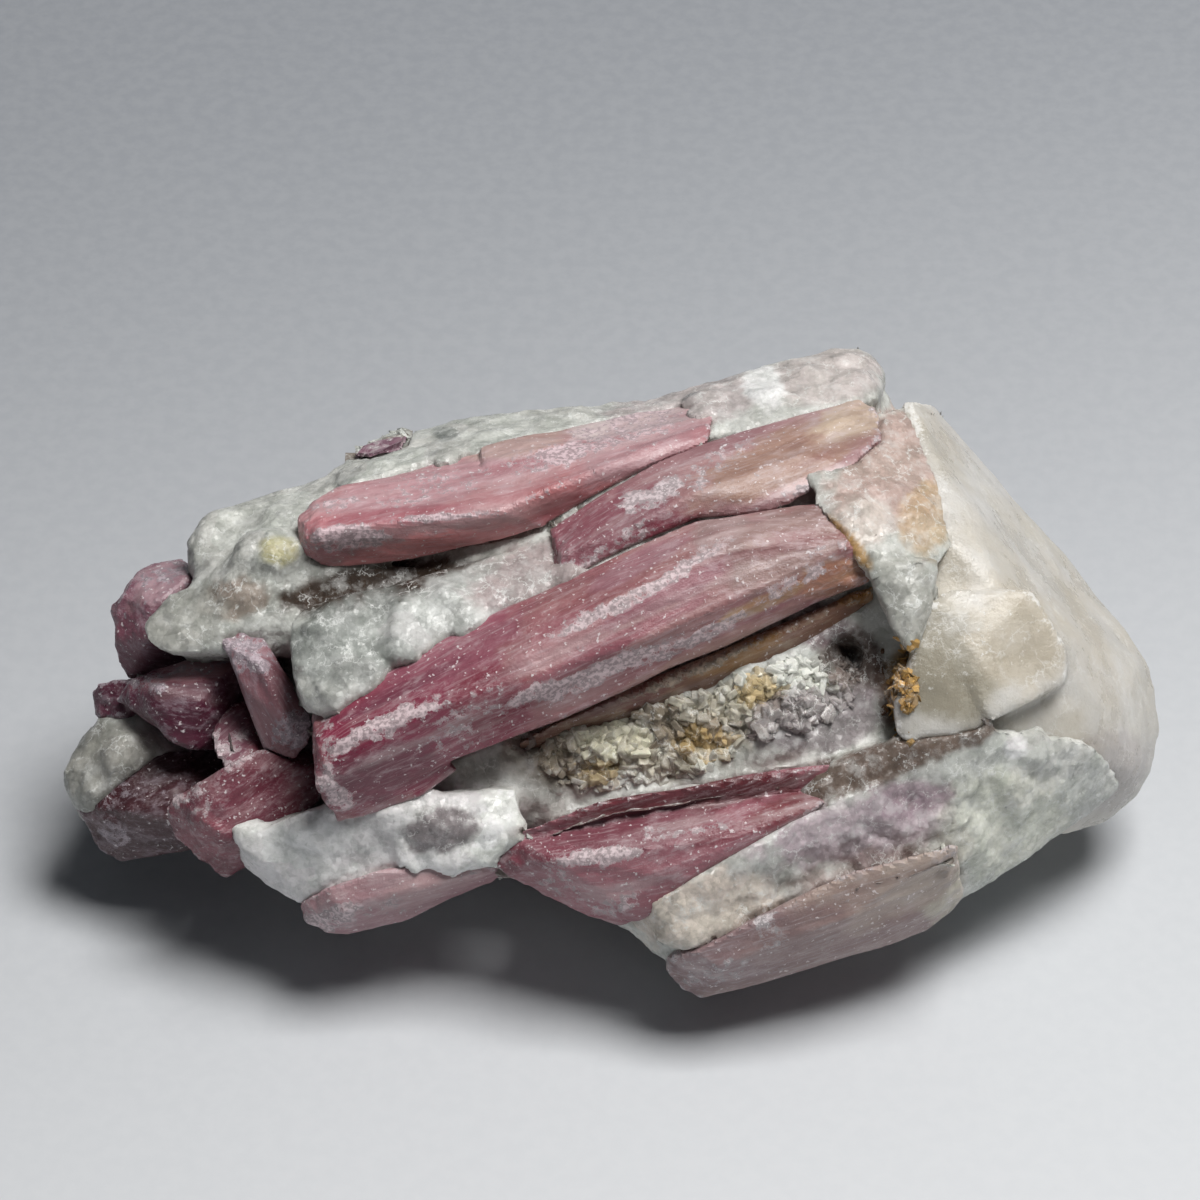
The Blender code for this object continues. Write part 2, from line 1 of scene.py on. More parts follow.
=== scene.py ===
# %% [markdown]
# # A rough tourmaline specimen
# Long pink prisms lie side by side through pale feldspar, and milky quartz ends them at the
# right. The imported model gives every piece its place, its outline and its big flats. This
# lesson gives each piece its broken skin, its grain and its colours, and it changes no size.

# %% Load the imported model
import itertools
import math

import bpy
import numpy as np
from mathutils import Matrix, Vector
from mathutils.bvhtree import BVHTree


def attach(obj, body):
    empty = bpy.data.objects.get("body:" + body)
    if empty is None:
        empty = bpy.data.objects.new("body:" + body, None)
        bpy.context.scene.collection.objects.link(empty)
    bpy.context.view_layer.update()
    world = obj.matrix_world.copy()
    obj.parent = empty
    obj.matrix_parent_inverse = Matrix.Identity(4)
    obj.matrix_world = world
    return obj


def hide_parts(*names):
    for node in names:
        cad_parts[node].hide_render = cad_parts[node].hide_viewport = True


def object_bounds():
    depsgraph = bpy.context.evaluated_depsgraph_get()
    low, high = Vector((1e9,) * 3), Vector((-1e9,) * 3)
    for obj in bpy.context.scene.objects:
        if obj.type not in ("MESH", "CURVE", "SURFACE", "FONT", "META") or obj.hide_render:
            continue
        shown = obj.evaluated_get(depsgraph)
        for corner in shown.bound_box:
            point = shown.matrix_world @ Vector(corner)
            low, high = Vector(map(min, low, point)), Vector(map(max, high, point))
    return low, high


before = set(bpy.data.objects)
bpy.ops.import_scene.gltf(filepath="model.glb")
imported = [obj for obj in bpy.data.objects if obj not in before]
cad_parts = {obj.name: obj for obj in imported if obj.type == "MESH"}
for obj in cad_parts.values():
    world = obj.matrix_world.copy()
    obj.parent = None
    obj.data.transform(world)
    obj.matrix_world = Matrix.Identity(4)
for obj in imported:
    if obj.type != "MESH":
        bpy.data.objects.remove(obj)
cad_low, cad_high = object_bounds()
bpy.context.scene.view_settings.view_transform = "Standard"
print("packed pieces:", len(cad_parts), "from", cad_low, "to", cad_high)

# %% [markdown]
# ## A measuring grid
# The broken face leans back by 45 degrees. Places on it are read as steps across, steps down and
# millimetres out of the face, on the grid that the solids were laid out with. One function turns
# a reading into a point, and one turns points back into readings, so that colour can be put
# where it belongs on the stone.

# %% The grid, both ways
MM = 0.001
FACE_TILT = math.radians(45.0)
GRID_STEP = 0.0818
GRID_MIDDLE = 600.0
GRID_RIGHT = -0.57
GRID_UP = 5.56
SIGHT_DISTANCE = 400.0
FACE_HEIGHT = 23.0
CENTRE_X = 0.26
CENTRE_Y = 4.71
LEAN_SIN, LEAN_COS = math.sin(FACE_TILT), math.cos(FACE_TILT)
OUT_OF_FACE = np.array((0.0, -LEAN_COS, LEAN_SIN))


def at(across, down, out):
    """The point, in millimetres, of one reading."""
    step = GRID_STEP * (SIGHT_DISTANCE - out) / SIGHT_DISTANCE
    right = GRID_RIGHT + (across - GRID_MIDDLE) * step
    up = GRID_UP - (down - GRID_MIDDLE) * step
    return Vector((
        right - CENTRE_X,
        up * LEAN_SIN - out * LEAN_COS - CENTRE_Y,
        up * LEAN_COS + out * LEAN_SIN + FACE_HEIGHT,
    ))


def readings(points):
    """The readings across, down and out of many points in millimetres."""
    right = points[:, 0] + CENTRE_X - GRID_RIGHT
    back = points[:, 1] + CENTRE_Y
    high = points[:, 2] - FACE_HEIGHT
    up = back * LEAN_SIN + high * LEAN_COS - GRID_UP
    out = high * LEAN_SIN - back * LEAN_COS
    step = GRID_STEP * (SIGHT_DISTANCE - out) / SIGHT_DISTANCE
    return GRID_MIDDLE + right / step, GRID_MIDDLE - up / step, out


print("the grid's middle lies at", at(GRID_MIDDLE, GRID_MIDDLE, 0.0), "mm")

# %% [markdown]
# ## The camera
# It looks straight at the leaning face from 400 mm, through a long lens, so that the prisms
# keep their proportions. The lens is worked out from how wide the view is at that distance.

# %% Camera
VIEW_WIDTH = 1200 * GRID_STEP
SENSOR = 36.0

bpy.ops.object.select_all(action="DESELECT")
bpy.ops.object.camera_add(
    location=at(GRID_MIDDLE, GRID_MIDDLE, SIGHT_DISTANCE) * MM,
    rotation=(FACE_TILT, 0.0, 0.0),
)
camera = bpy.context.object
camera.data.sensor_width = SENSOR
camera.data.lens = SENSOR * SIGHT_DISTANCE / VIEW_WIDTH
camera.data.clip_start = 0.01
camera.data.clip_end = 20.0
bpy.context.scene.camera = camera
print("lens:", round(camera.data.lens, 1), "mm")

# %% [markdown]
# ## Helpers for finishes
# A finish is a material made of nodes. These helpers add a node, set its sockets and join it to
# others, so that each finish below reads as a short list of what it does. Colours are given as
# they look on the stone, from 0 to 255, and turned into the linear values that a shader wants.

# %% Material helpers
def linear(colour):
    """Seen colours from 0 to 255 as linear ones from 0 to 1."""
    share = np.asarray(colour, float) / 255.0
    return np.where(share <= 0.04045, share / 12.92, ((share + 0.055) / 1.055) ** 2.4)


def tint(colour):
    """A seen colour as a socket wants it."""
    return (*linear(colour).tolist(), 1.0)


def new_finish(name):
    """A new material: its node tree and its main shader."""
    material = bpy.data.materials.new(name)
    material.use_nodes = True
    return material, material.node_tree, material.node_tree.nodes["Principled BSDF"]


def node(tree, kind, settings=(), **sockets):
    """One node: settings are its properties, and sockets its values or what feeds them."""
    made = tree.nodes.new(kind)
    for key, value in dict(settings).items():
        setattr(made, key, value)
    for key, value in sockets.items():
        socket = made.inputs[int(key[1:])] if key[1:].isdigit() else made.inputs[key.replace("_", " ")]
        if isinstance(value, bpy.types.NodeSocket):
            tree.links.new(value, socket)
        else:
            socket.default_value = value
    return made


def own_place(tree):
    """Each point's place on its own piece, in metres."""
    return node(tree, "ShaderNodeTexCoord").outputs["Object"]


def step_between(tree, value, low, high, to_low=0.0, to_high=1.0):
    """Value eased from to_low at low to to_high at high."""
    made = node(tree, "ShaderNodeMapRange", {"interpolation_type": "SMOOTHSTEP"},
                Value=value, From_Min=low, From_Max=high, To_Min=to_low, To_Max=to_high)
    return made.outputs["Result"]


def figure(tree, operation, first, second):
    """The sum or the product of two values, or what else the operation says."""
    return node(tree, "ShaderNodeMath", {"operation": operation}, _0=first, _1=second).outputs[0]


def product(tree, first, second):
    return figure(tree, "MULTIPLY", first, second)


def vector_figure(tree, operation, first, second):
    """The same for two vectors: what it gives is a vector."""
    return node(tree, "ShaderNodeVectorMath", {"operation": operation}, _0=first, _1=second).outputs[0]


def mixed(tree, share, first, second, blend="MIX"):
    """Two colours mixed by a share."""
    made = node(tree, "ShaderNodeMix", {"data_type": "RGBA", "blend_type": blend},
                _0=share, _6=first, _7=second)
    return made.outputs[2]


def feed(tree, shader, colour, rough, bump):
    """Joins what the noise made to the shader."""
    for name, value in (("Base Color", colour), ("Roughness", rough), ("Normal", bump)):
        tree.links.new(value, shader.inputs[name])


def glazed(tree, share, under, colour):
    """What is under, with a share of a seen colour over it."""
    return mixed(tree, share, under, tint(colour))


def deepened(tree, share, under, factors):
    """What is under, multiplied by factors for red, green and blue where the share is 1."""
    return mixed(tree, share, under, (*factors, 1.0), "MULTIPLY")


# %% [markdown]
# ## Patterns in stone
# Every finish below is built from a few patterns: speckle, small tilted facets, square-cornered
# patches and fine cracks. They are worked out from a place on the piece, and need no pictures.

# %% Pattern helpers
CRACK_RAGGEDNESS = 0.5


def speckle(tree, where, scale, detail=2.0, rough=0.55):
    """Noise from 0 to 1 with one swell every 1 / scale metres."""
    made = node(tree, "ShaderNodeTexNoise", {}, Vector=where, Scale=scale, Detail=detail,
                Roughness=rough)
    return made.outputs["Fac"]


def facets(tree, where, scale):
    """A height that tilts each small grain its own way, as broken sugar does."""
    grain = node(tree, "ShaderNodeTexVoronoi", {}, Vector=where, Scale=scale)
    away = vector_figure(tree, "SUBTRACT", where, grain.outputs["Position"])
    tilt = vector_figure(tree, "SUBTRACT", grain.outputs["Color"], (0.5, 0.5, 0.5))
    height = node(tree, "ShaderNodeVectorMath", {"operation": "DOT_PRODUCT"}, _0=away, _1=tilt)
    return height.outputs["Value"], grain.outputs["Color"]


def part_of(tree, colour, channel=0):
    """The red, green or blue of a colour."""
    return node(tree, "ShaderNodeSeparateColor", {}, Color=colour).outputs[channel]


def stirred(tree, where, scale, ragged):
    """The same places, pushed about by noise, so that borders laid over them come out ragged."""
    stir = node(tree, "ShaderNodeTexNoise", {}, Vector=where, Scale=scale * 2.0, Detail=4.0,
                Roughness=0.65)
    away = vector_figure(tree, "SUBTRACT", stir.outputs["Color"], (0.5, 0.5, 0.5))
    small = node(tree, "ShaderNodeVectorMath", {"operation": "SCALE"}, _0=away)
    small.inputs["Scale"].default_value = ragged * 2.0 / scale
    return vector_figure(tree, "ADD", where, small.outputs[0])


def patches(tree, where, scale, ragged):
    """Square-cornered patches, each with a random colour of its own, as in a mass of crystals."""
    cells = node(tree, "ShaderNodeTexVoronoi", {"distance": "CHEBYCHEV"},
                 Vector=stirred(tree, where, scale, ragged), Scale=scale)
    return cells.outputs["Color"]


def cracks(tree, where, scale, width=0.05):
    """1 on fine healed cracks that come and go, and 0 between them."""
    cells = node(tree, "ShaderNodeTexVoronoi", {"feature": "DISTANCE_TO_EDGE"},
                 Vector=stirred(tree, where, scale, CRACK_RAGGEDNESS), Scale=scale)
    line = step_between(tree, cells.outputs["Distance"], 0.0, width, 1.0, 0.0)
    comes = step_between(tree, speckle(tree, where, scale * 0.8), 0.46, 0.60)
    return product(tree, line, comes)


def raised(tree, height, distance, under=None):
    """Bump of that height in millimetres, on top of the bump that is under it."""
    made = node(tree, "ShaderNodeBump", {}, Height=height, Distance=distance * MM, Strength=1.0)
    if under is not None:
        tree.links.new(under, made.inputs["Normal"])
    return made.outputs["Normal"]


# %% [markdown]
# ## The paper
# The stone lies on matt pale paper with a fine mottle. Its colour is painted darker at the back
# and lighter towards the viewer, as painted light. One wide plane makes it. It is set down as the
# stage, because it isn't part of the stone.

# %% Floor
FLOOR_SIZE = 3.0
PAPER_BACK_PAINTED_SHADE = (146, 150, 157)
PAPER_FRONT = (214, 217, 221)
PAPER_LIGHT = (255, 255, 255)
PAINTED_LIGHT_WAY = (0.22, -1.0, 0.0)
MOTTLE_PER_METRE = 700.0
MOTTLE_SHARE = 0.04

bpy.ops.mesh.primitive_plane_add(size=FLOOR_SIZE, location=(0.0, 0.0, 0.0))
floor = bpy.context.object
floor.name = "floor"
paper, tree, shader = new_finish("pale_paper")
place = own_place(tree)
towards_front = node(tree, "ShaderNodeVectorMath", {"operation": "DOT_PRODUCT"},
                     _0=place, _1=PAINTED_LIGHT_WAY).outputs["Value"]
# painted light: the paper's colour rises from darker at the back to lighter at the front
painted_light_rise = step_between(tree, towards_front, -0.13, 0.09)
tone = mixed(tree, painted_light_rise, tint(PAPER_BACK_PAINTED_SHADE), tint(PAPER_FRONT))
mottle = step_between(tree, speckle(tree, place, MOTTLE_PER_METRE, 3.0), 0.3, 0.7, 0.0, MOTTLE_SHARE)
tree.links.new(glazed(tree, mottle, tone, PAPER_LIGHT), shader.inputs["Base Color"])
shader.inputs["Roughness"].default_value = 0.85
floor.data.materials.append(paper)
print("floor:", FLOOR_SIZE, "m wide")

# %% [markdown]
# ## The light
# A soft lamp hangs nearly straight above the stone, a little to the right. So the top is bright,
# and a narrow shadow falls to the left and in front. A weak, wide lamp opens the leaning face a
# little, and a faint, cool sky keeps the shadow from going black.

# %% Light
SKY_TONE = (0.80, 0.89, 1.0)
SKY_STRENGTH = 0.03

middle = (cad_low + cad_high) / 2.0


def soft_lamp(name, way, distance, size, power, colour):
    """A square lamp that faces the stone from a way off."""
    way = Vector(way).normalized()
    bpy.ops.object.light_add(type="AREA", location=middle + way * distance)
    made = bpy.context.object
    made.name = name
    made.data.size = size
    made.data.energy = power
    made.data.color = colour
    made.rotation_euler = (-way).to_track_quat("-Z", "Y").to_euler()
    print(name, "at", tuple(round(v, 3) for v in made.location))


soft_lamp("overhead_lamp", way=(0.28, -0.02, 0.96), distance=0.6, size=0.25, power=4.35,
          colour=(1.0, 0.985, 0.96))
soft_lamp("front_fill", way=(-0.12, -0.36, 0.92), distance=0.8, size=0.45, power=0.12,
          colour=(0.93, 0.96, 1.0))
world = bpy.data.worlds.new("soft_sky")
bpy.context.scene.world = world
world.use_nodes = True
world.node_tree.nodes["Background"].inputs["Color"].default_value = (*SKY_TONE, 1.0)
world.node_tree.nodes["Background"].inputs["Strength"].default_value = SKY_STRENGTH

# %% [markdown]
# ## Noise by place
# Stone breaks the same way every time only if its roughness depends on place. `drift` is soft
# noise. `splits` says in which block of the stone a point lies: each block has a tone of its own,
# and a height that falls in flats from its heart. Each is turned its own way, which is how
# cleavage looks. With `along`, blocks turn only about the long way, as splinters do.

# %% Noise helpers
HASH_STEPS = np.array((374761393, 668265263, 1440662683))
HASH_SEED_STEP = 1013904223
HASH_STIRS = ((13, 1274126177), (15, 739982445))
LOW_32_BITS = 0xFFFFFFFF
LOW_24_BITS = 0xFFFFFF


def hashed(cell, seed):
    """One number from 0 to 1 for each whole-numbered cell. Large odd numbers stir its bits."""
    bits = (cell @ HASH_STEPS + seed * HASH_SEED_STEP) & LOW_32_BITS
    for shift, factor in HASH_STIRS:
        bits = ((bits ^ (bits >> shift)) * factor) & LOW_32_BITS
    return ((bits ^ (bits >> 16)) & LOW_24_BITS) / LOW_24_BITS


def eased(value, low, high):
    """0 below low, 1 above high, and a soft rise between."""
    share = np.clip((value - low) / (high - low), 0.0, 1.0)
    return share * share * (3.0 - 2.0 * share)


FINER_LAYER = 0.55
LAYER_SEED_STEP = 17


def drift(points, size, seed, layers=1):
    """Soft noise from -1 to 1, with one swell every size millimetres, and finer layers on it."""
    total = np.zeros(len(points))
    share = 1.0
    whole = 0.0
    for layer in range(layers):
        spots = points / (size * 0.5 ** layer)
        low = np.floor(spots).astype(np.int64)
        part = spots - low
        part = part * part * (3.0 - 2.0 * part)
        for corner in itertools.product((0, 1), repeat=3):
            weight = np.prod(np.where(np.array(corner), part, 1.0 - part), axis=1)
            value = hashed(low + np.array(corner), seed + layer * LAYER_SEED_STEP)
            total += share * weight * (2.0 * value - 1.0)
        whole += share
        share *= FINER_LAYER
    return total / whole


BLOCK_TURNS = 24
BLOCK_PROPORTIONS = (1.15, 0.85, 1.0)
BLOCK_REACH = 0.42
STRAIGHTNESS = 4.0
LEANING = 0.35


def splits(points, size, seed, along=False):
    """Blocks split out of the stone, each turned its own way: a tone and a height for each point."""
    dice = np.random.default_rng(seed)
    turns = np.linalg.qr(dice.normal(size=(BLOCK_TURNS, 3, 3)))[0]
    if along:
        turns = np.linalg.qr(np.eye(3) * STRAIGHTNESS + turns * LEANING)[0]
        for which, angle in enumerate(dice.uniform(0.0, math.pi, BLOCK_TURNS)):
            about = np.array(((1, 0, 0), (0, math.cos(angle), math.sin(angle)),
                              (0, -math.sin(angle), math.cos(angle))))
            turns[which] = about @ turns[which]
    spots = points / size
    base = np.floor(spots).astype(np.int64)
    nearest = np.full(len(spots), np.inf)
    home = np.zeros_like(base)
    for step in itertools.product((-1, 0, 1), repeat=3):
        cell = base + np.array(step)
        centre = cell + np.stack([hashed(cell, seed + k) for k in range(3)], axis=1)
        turn = turns[(hashed(cell, seed + 9) * (BLOCK_TURNS - 0.01)).astype(int)]
        apart = np.einsum("nij,nj->ni", turn, spots - centre) * BLOCK_PROPORTIONS
        gap = np.abs(apart).max(axis=1)
        closer = gap < nearest
        nearest = np.where(closer, gap, nearest)
        home[closer] = cell[closer]
    return hashed(home, seed + 5), (BLOCK_REACH - nearest) * size


print("noise at one place:", drift(np.array([[1.0, 2.0, 3.0]]), 5.0, 1))

# %% [markdown]
# ## From a solid to a skin
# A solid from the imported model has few, large faces. Its copy is merged first, because the solid
# comes as loose triangles, and then the voxel Remesh modifier lays an even skin of small faces
# over it. On such a skin, every vertex can be moved a little along its normal. Averages over the
# neighbouring vertices tell hollows from proud edges, and what is found is kept as attributes.

# %% Skin helpers
def alone(piece):
    """Makes this piece the only one that is selected."""
    bpy.ops.object.select_all(action="DESELECT")
    piece.select_set(True)
    bpy.context.view_layer.objects.active = piece


def merged_copy(solids, name, growth=0.0):
    """One object that holds a merged copy of each solid, grown by so many millimetres."""
    copies = []
    for solid in solids:
        copies.append(bpy.data.objects.new(name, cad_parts[solid].data.copy()))
        bpy.context.collection.objects.link(copies[-1])
        copies[-1].data.materials.clear()
    alone(copies[0])
    for copy in copies:
        copy.select_set(True)
    if len(copies) > 1:
        bpy.ops.object.join()
    bpy.ops.object.mode_set(mode="EDIT")
    bpy.ops.mesh.select_all(action="SELECT")
    bpy.ops.mesh.remove_doubles(threshold=1e-6)
    if growth:
        bpy.ops.transform.shrink_fatten(value=growth * MM, use_even_offset=False)
    bpy.ops.object.mode_set(mode="OBJECT")
    return copies[0]


def even_out(piece, voxel, softening=0):
    """Lays one skin of faces that are voxel millimetres wide over all that the piece holds."""
    even = piece.modifiers.new("even_skin", "REMESH")
    even.mode = "VOXEL"
    even.voxel_size = voxel * MM
    bpy.ops.object.modifier_apply(modifier=even.name)
    if softening:
        soft = piece.modifiers.new("softened", "SMOOTH")
        soft.iterations = softening
        bpy.ops.object.modifier_apply(modifier=soft.name)


def skin_of(solid, name, voxel, softening):
    piece = merged_copy([solid], name)
    even_out(piece, voxel, softening)
    return piece


def points_of(piece):
    """Every vertex in millimetres, and its normal."""
    count = len(piece.data.vertices)
    places = np.zeros(count * 3, np.float32)
    normals = np.zeros(count * 3, np.float32)
    piece.data.vertices.foreach_get("co", places)
    piece.data.vertex_normals.foreach_get("vector", normals)
    return places.reshape(-1, 3).astype(float) / MM, normals.reshape(-1, 3).astype(float)


def put_points(piece, points):
    """Puts the vertices at points in millimetres, and none of them below the paper."""
    points[:, 2] = np.maximum(points[:, 2], 0.0)
    piece.data.vertices.foreach_set("co", (points * MM).astype(np.float32).ravel())
    piece.data.update()


def evened(piece, values, rounds):
    """Values averaged with those of the neighbouring vertices, so many times."""
    ends = np.zeros(len(piece.data.edges) * 2, np.int32)
    piece.data.edges.foreach_get("vertices", ends)
    first, second = ends.reshape(-1, 2).T
    count = len(piece.data.vertices)
    links = np.bincount(first, minlength=count) + np.bincount(second, minlength=count)
    values = np.asarray(values, float)
    flat = values.reshape(count, -1).copy()
    for _ in range(rounds):
        for column in range(flat.shape[1]):
            near = np.bincount(first, flat[second, column], count)
            near += np.bincount(second, flat[first, column], count)
            flat[:, column] = 0.5 * flat[:, column] + 0.5 * near / np.maximum(links, 1)
    return flat.reshape(values.shape)


def hollowness(piece, rounds):
    """Millimetres that each vertex lies below (plus) or above (minus) the evened surface."""
    points, normals = points_of(piece)
    return ((evened(piece, points, rounds) - points) * normals).sum(axis=1)


def note(piece, name, values):
    """Keeps one value, colour or vector for every vertex, for the finish to read."""
    values = np.asarray(values, float)
    kind, field = ("FLOAT", "value") if values.ndim == 1 else ("FLOAT_VECTOR", "vector")
    if name == "paint":
        kind, field = "FLOAT_COLOR", "color"
        values = np.column_stack([values, np.ones(len(values))])
    kept = piece.data.attributes.new(name, kind, "POINT")
    kept.data.foreach_set(field, values.astype(np.float32).ravel())


def hand_over(piece, finish, slot, *solids):
    """Gives a finished piece its material and its body, and hides the solids that it stands for. The slot
    is not used.
    """
    piece.data.materials.clear()
    piece.data.materials.append(finish)
    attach(piece, "root")
    if solids:
        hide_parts(*solids)


print("skin helpers ready")

# %% [markdown]
# ## Colour by place
# The stone's colours drift: a prism is deep magenta at one end and peach at the other, and
# iron has stained the druse. Each change is a blot: a stretched round patch, laid at a reading,
# whose rim is broken up by noise. Blots are laid over a base tone in order, as glazes are. Every
# tone is lifted a little, because the lamp lights the leaning face only aslant.

# %% Blots
GAIN = 1.22


def lit(colour):
    """The linear value that a surface needs to look this colour under the lamp."""
    return linear(colour) * GAIN


def laid_over(colours, share, colour):
    """Colours with a share of one seen colour laid over them."""
    return colours + share[:, None] * (lit(colour) - colours)


def away_from(across, down, spot):
    """How far readings lie from a stretched, leaning spot: 0 in its middle and 1 on its rim."""
    middle_across, middle_down, reach, spread, lean = spot
    turn = math.radians(lean)
    right = across - middle_across
    below = down - middle_down
    along = (right * math.cos(turn) - below * math.sin(turn)) / reach
    over = (right * math.sin(turn) + below * math.cos(turn)) / spread
    return np.hypot(along, over)


def blots_over(base, piece_points, normals, blots, seed, ragged=0.45):
    """Base colours with blots laid over them where the surface looks out of the leaning face."""
    across, down, _ = readings(piece_points)
    facing = eased(normals @ OUT_OF_FACE, -0.35, 0.1)
    coarse = drift(piece_points, 2.6, seed, 2)
    fine = drift(piece_points, 0.8, seed + 1, 2)
    colours = base
    for *spot, colour, strength in blots:
        gone = away_from(across, down, spot) + ragged * (0.6 * coarse + 0.5 * fine)
        colours = laid_over(colours, (1.0 - eased(gone, 0.72, 1.12)) * facing * strength, colour)
    return colours


print("blots ready")

# %% [markdown]
# ## The tourmaline's finish
# Tourmaline is glassy and streaked along its length, with zones of tone in it, and where it is
# bruised it turns to white sugar. The finish reads the painted colour and lays veils, zones and
# fine lines over it. It mixes in frost where the piece says so, and a few bright specks that are
# painted glints.
# `lengthwise` is each vertex's place in the prism's own frame, squeezed along its length, so that
# noise on it comes out as streaks. For veils and zones it is drawn out again, by `SHORTER`.

# %% Tourmaline finish
STRETCH = 11.0
SHORTER = 5.0
TOURMALINE_IOR = 1.62
GLINT_SPECK_COLOUR = (236, 228, 230)


def read(tree, name):
    """A value or colour that was noted on the piece."""
    return node(tree, "ShaderNodeAttribute", {"attribute_name": name})


def sugared(tree, sugar, frost):
    """1 where the skin has turned to white sugar: more of it where there is more frost."""
    return step_between(tree, figure(tree, "ADD", sugar, product(tree, frost, 0.34)), 0.64, 0.74)


def tourmaline_finish(name, frost_colour, gloss):
    material, tree, shader = new_finish(name)
    place = own_place(tree)
    along = read(tree, "lengthwise").outputs["Vector"]
    paint = read(tree, "paint").outputs["Color"]
    frost = read(tree, "frost").outputs["Fac"]
    short = vector_figure(tree, "MULTIPLY", along, (SHORTER, 1.0, 1.0))
    veil = speckle(tree, short, 0.75, 8.0, 0.72)
    line = speckle(tree, along, 4.0, 3.0, 0.55)
    sugar = speckle(tree, place, 1300.0, 6.0, 0.74)
    sugar_tone_and_glint = speckle(tree, place, 2600.0, 2.0, 0.5)
    zone = part_of(tree, patches(tree, short, 0.42, 0.12))
    # Dark veils and zones, then pale veils and lines
    colour = deepened(tree, step_between(tree, veil, 0.50, 0.40, 0.0, 0.35), paint, (0.66, 0.58, 0.60))
    colour = deepened(tree, product(tree, zone, 0.45), colour, (0.66, 0.63, 0.64))
    colour = glazed(tree, step_between(tree, veil, 0.50, 0.66, 0.0, 0.36), colour, frost_colour)
    colour = glazed(tree, step_between(tree, line, 0.52, 0.68, 0.0, 0.25), colour, frost_colour)
    # White sugar where the skin is bruised, lighter and darker from grain to grain
    white = sugared(tree, sugar, frost)
    light_sugar = tint(np.add(frost_colour, 18).clip(0, 250))
    dark_sugar = tint(np.multiply(frost_colour, 0.80))
    grey_sugar = mixed(tree, step_between(tree, sugar_tone_and_glint, 0.4, 0.6), light_sugar, dark_sugar)
    colour = mixed(tree, product(tree, white, 0.88), colour, grey_sugar)
    # Painted glints: bright specks, mostly where there is sugar
    sugar_tone_and_glint = figure(tree, "ADD", sugar_tone_and_glint, step_between(tree, sugar, 0.40, 0.60, -0.08, 0.04))
    colour = glazed(tree, step_between(tree, sugar_tone_and_glint, 0.685, 0.74, 0.0, 0.65), colour, GLINT_SPECK_COLOUR)
    # Zones differ in gloss, and sugar is dull
    dull = step_between(tree, zone, 0.0, 1.0, gloss, gloss + 0.18)
    rough = figure(tree, "ADD", dull, product(tree, white, 0.25))
    bump = raised(tree, line, 0.02, raised(tree, veil, 0.10))
    feed(tree, shader, colour, rough, raised(tree, sugar, 0.10, bump))
    shader.inputs["IOR"].default_value = TOURMALINE_IOR
    return material


FROST_AND_GLOSS = {
    "magenta_tourmaline": ((206, 188, 192), 0.24),
    "mauve_tourmaline": ((205, 192, 196), 0.28),
    "salmon_tourmaline": ((212, 190, 196), 0.24),
    "brown_tourmaline": ((196, 180, 160), 0.24),
    "rose_tourmaline": ((206, 190, 194), 0.24),
    "plum_tourmaline": ((178, 165, 174), 0.27),
    "lavender_tourmaline": ((204, 197, 200), 0.30),
}
finishes = {slot: tourmaline_finish(slot, *looks) for slot, looks in FROST_AND_GLOSS.items()}
print("tourmaline finishes:", len(finishes))

# %% [markdown]
# ## The shape of a broken prism
# Tourmaline splits into long slabs and splinters, with fine ribs along them, and its ends are
# chipped. Each prism's long way is found from its own points, and its middle line is followed,
# so the ribs also bend where the prism bends. Then the skin is moved in and out by each of these.

# %% Prism shaper
LINE_STOPS = 12
LINE_REACH = 3.0
SLAB_SIZE, SLAB_DEPTH, SLAB_STRETCH = 4.6, 0.12, 3.0
SPLINTER_SIZE, SPLINTER_DEPTH = 2.6, 0.20
RIB_SIZE, RIB_DEPTH = 0.9, 0.015
PIT_SIZE, PIT_DEPTH = 1.2, 0.03
CHIP_SIZE, CHIP_DEPTH = 1.5, 0.34


def lengthwise_of(points):
    """Each point in the prism's own frame: along it, and the two ways across from its middle line."""
    heart = points.mean(axis=0)
    _, _, ways = np.linalg.svd(points - heart, full_matrices=False)
    ways[0] *= np.sign(ways[0][0])
    ways[2] = np.cross(ways[0], ways[1])
    own = (points - heart) @ ways.T
    stops = np.linspace(own[:, 0].min(), own[:, 0].max(), LINE_STOPS)
    for side in (1, 2):
        shares = [np.exp(-((own[:, 0] - stop) / LINE_REACH) ** 2) for stop in stops]
        line = [(share * own[:, side]).sum() / share.sum() for share in shares]
        own[:, side] -= np.interp(own[:, 0], stops, line)
    return own


def shape_prism(piece, seed, ends=1.0, swell=0.13):
    """Moves a prism's skin. Returns its points in its squeezed frame, and 1 at its ends."""
    points, normals = points_of(piece)
    own = lengthwise_of(points)
    squeezed = own / np.array((STRETCH, 1.0, 1.0))
    reach = np.abs(own[:, 0] - 0.5 * (own[:, 0].max() + own[:, 0].min()))
    tip = eased(reach, reach.max() - 3.2, reach.max() - 1.0)
    _, splinter = splits(squeezed, SPLINTER_SIZE, seed, True)
    _, slab = splits(own / np.array((SLAB_STRETCH, 1.0, 1.0)), SLAB_SIZE, seed + 60, True)
    _, chip = splits(points, CHIP_SIZE, seed + 40)
    move = SLAB_DEPTH * slab - SPLINTER_DEPTH * splinter
    move += RIB_DEPTH * drift(squeezed, RIB_SIZE, seed + 1, 2)
    move += swell
    move += PIT_DEPTH * drift(points, PIT_SIZE, seed + 3, 2)
    move -= tip * ends * CHIP_DEPTH * chip
    put_points(piece, points + normals * move[:, None])
    return squeezed, tip


print("prism shaper ready")

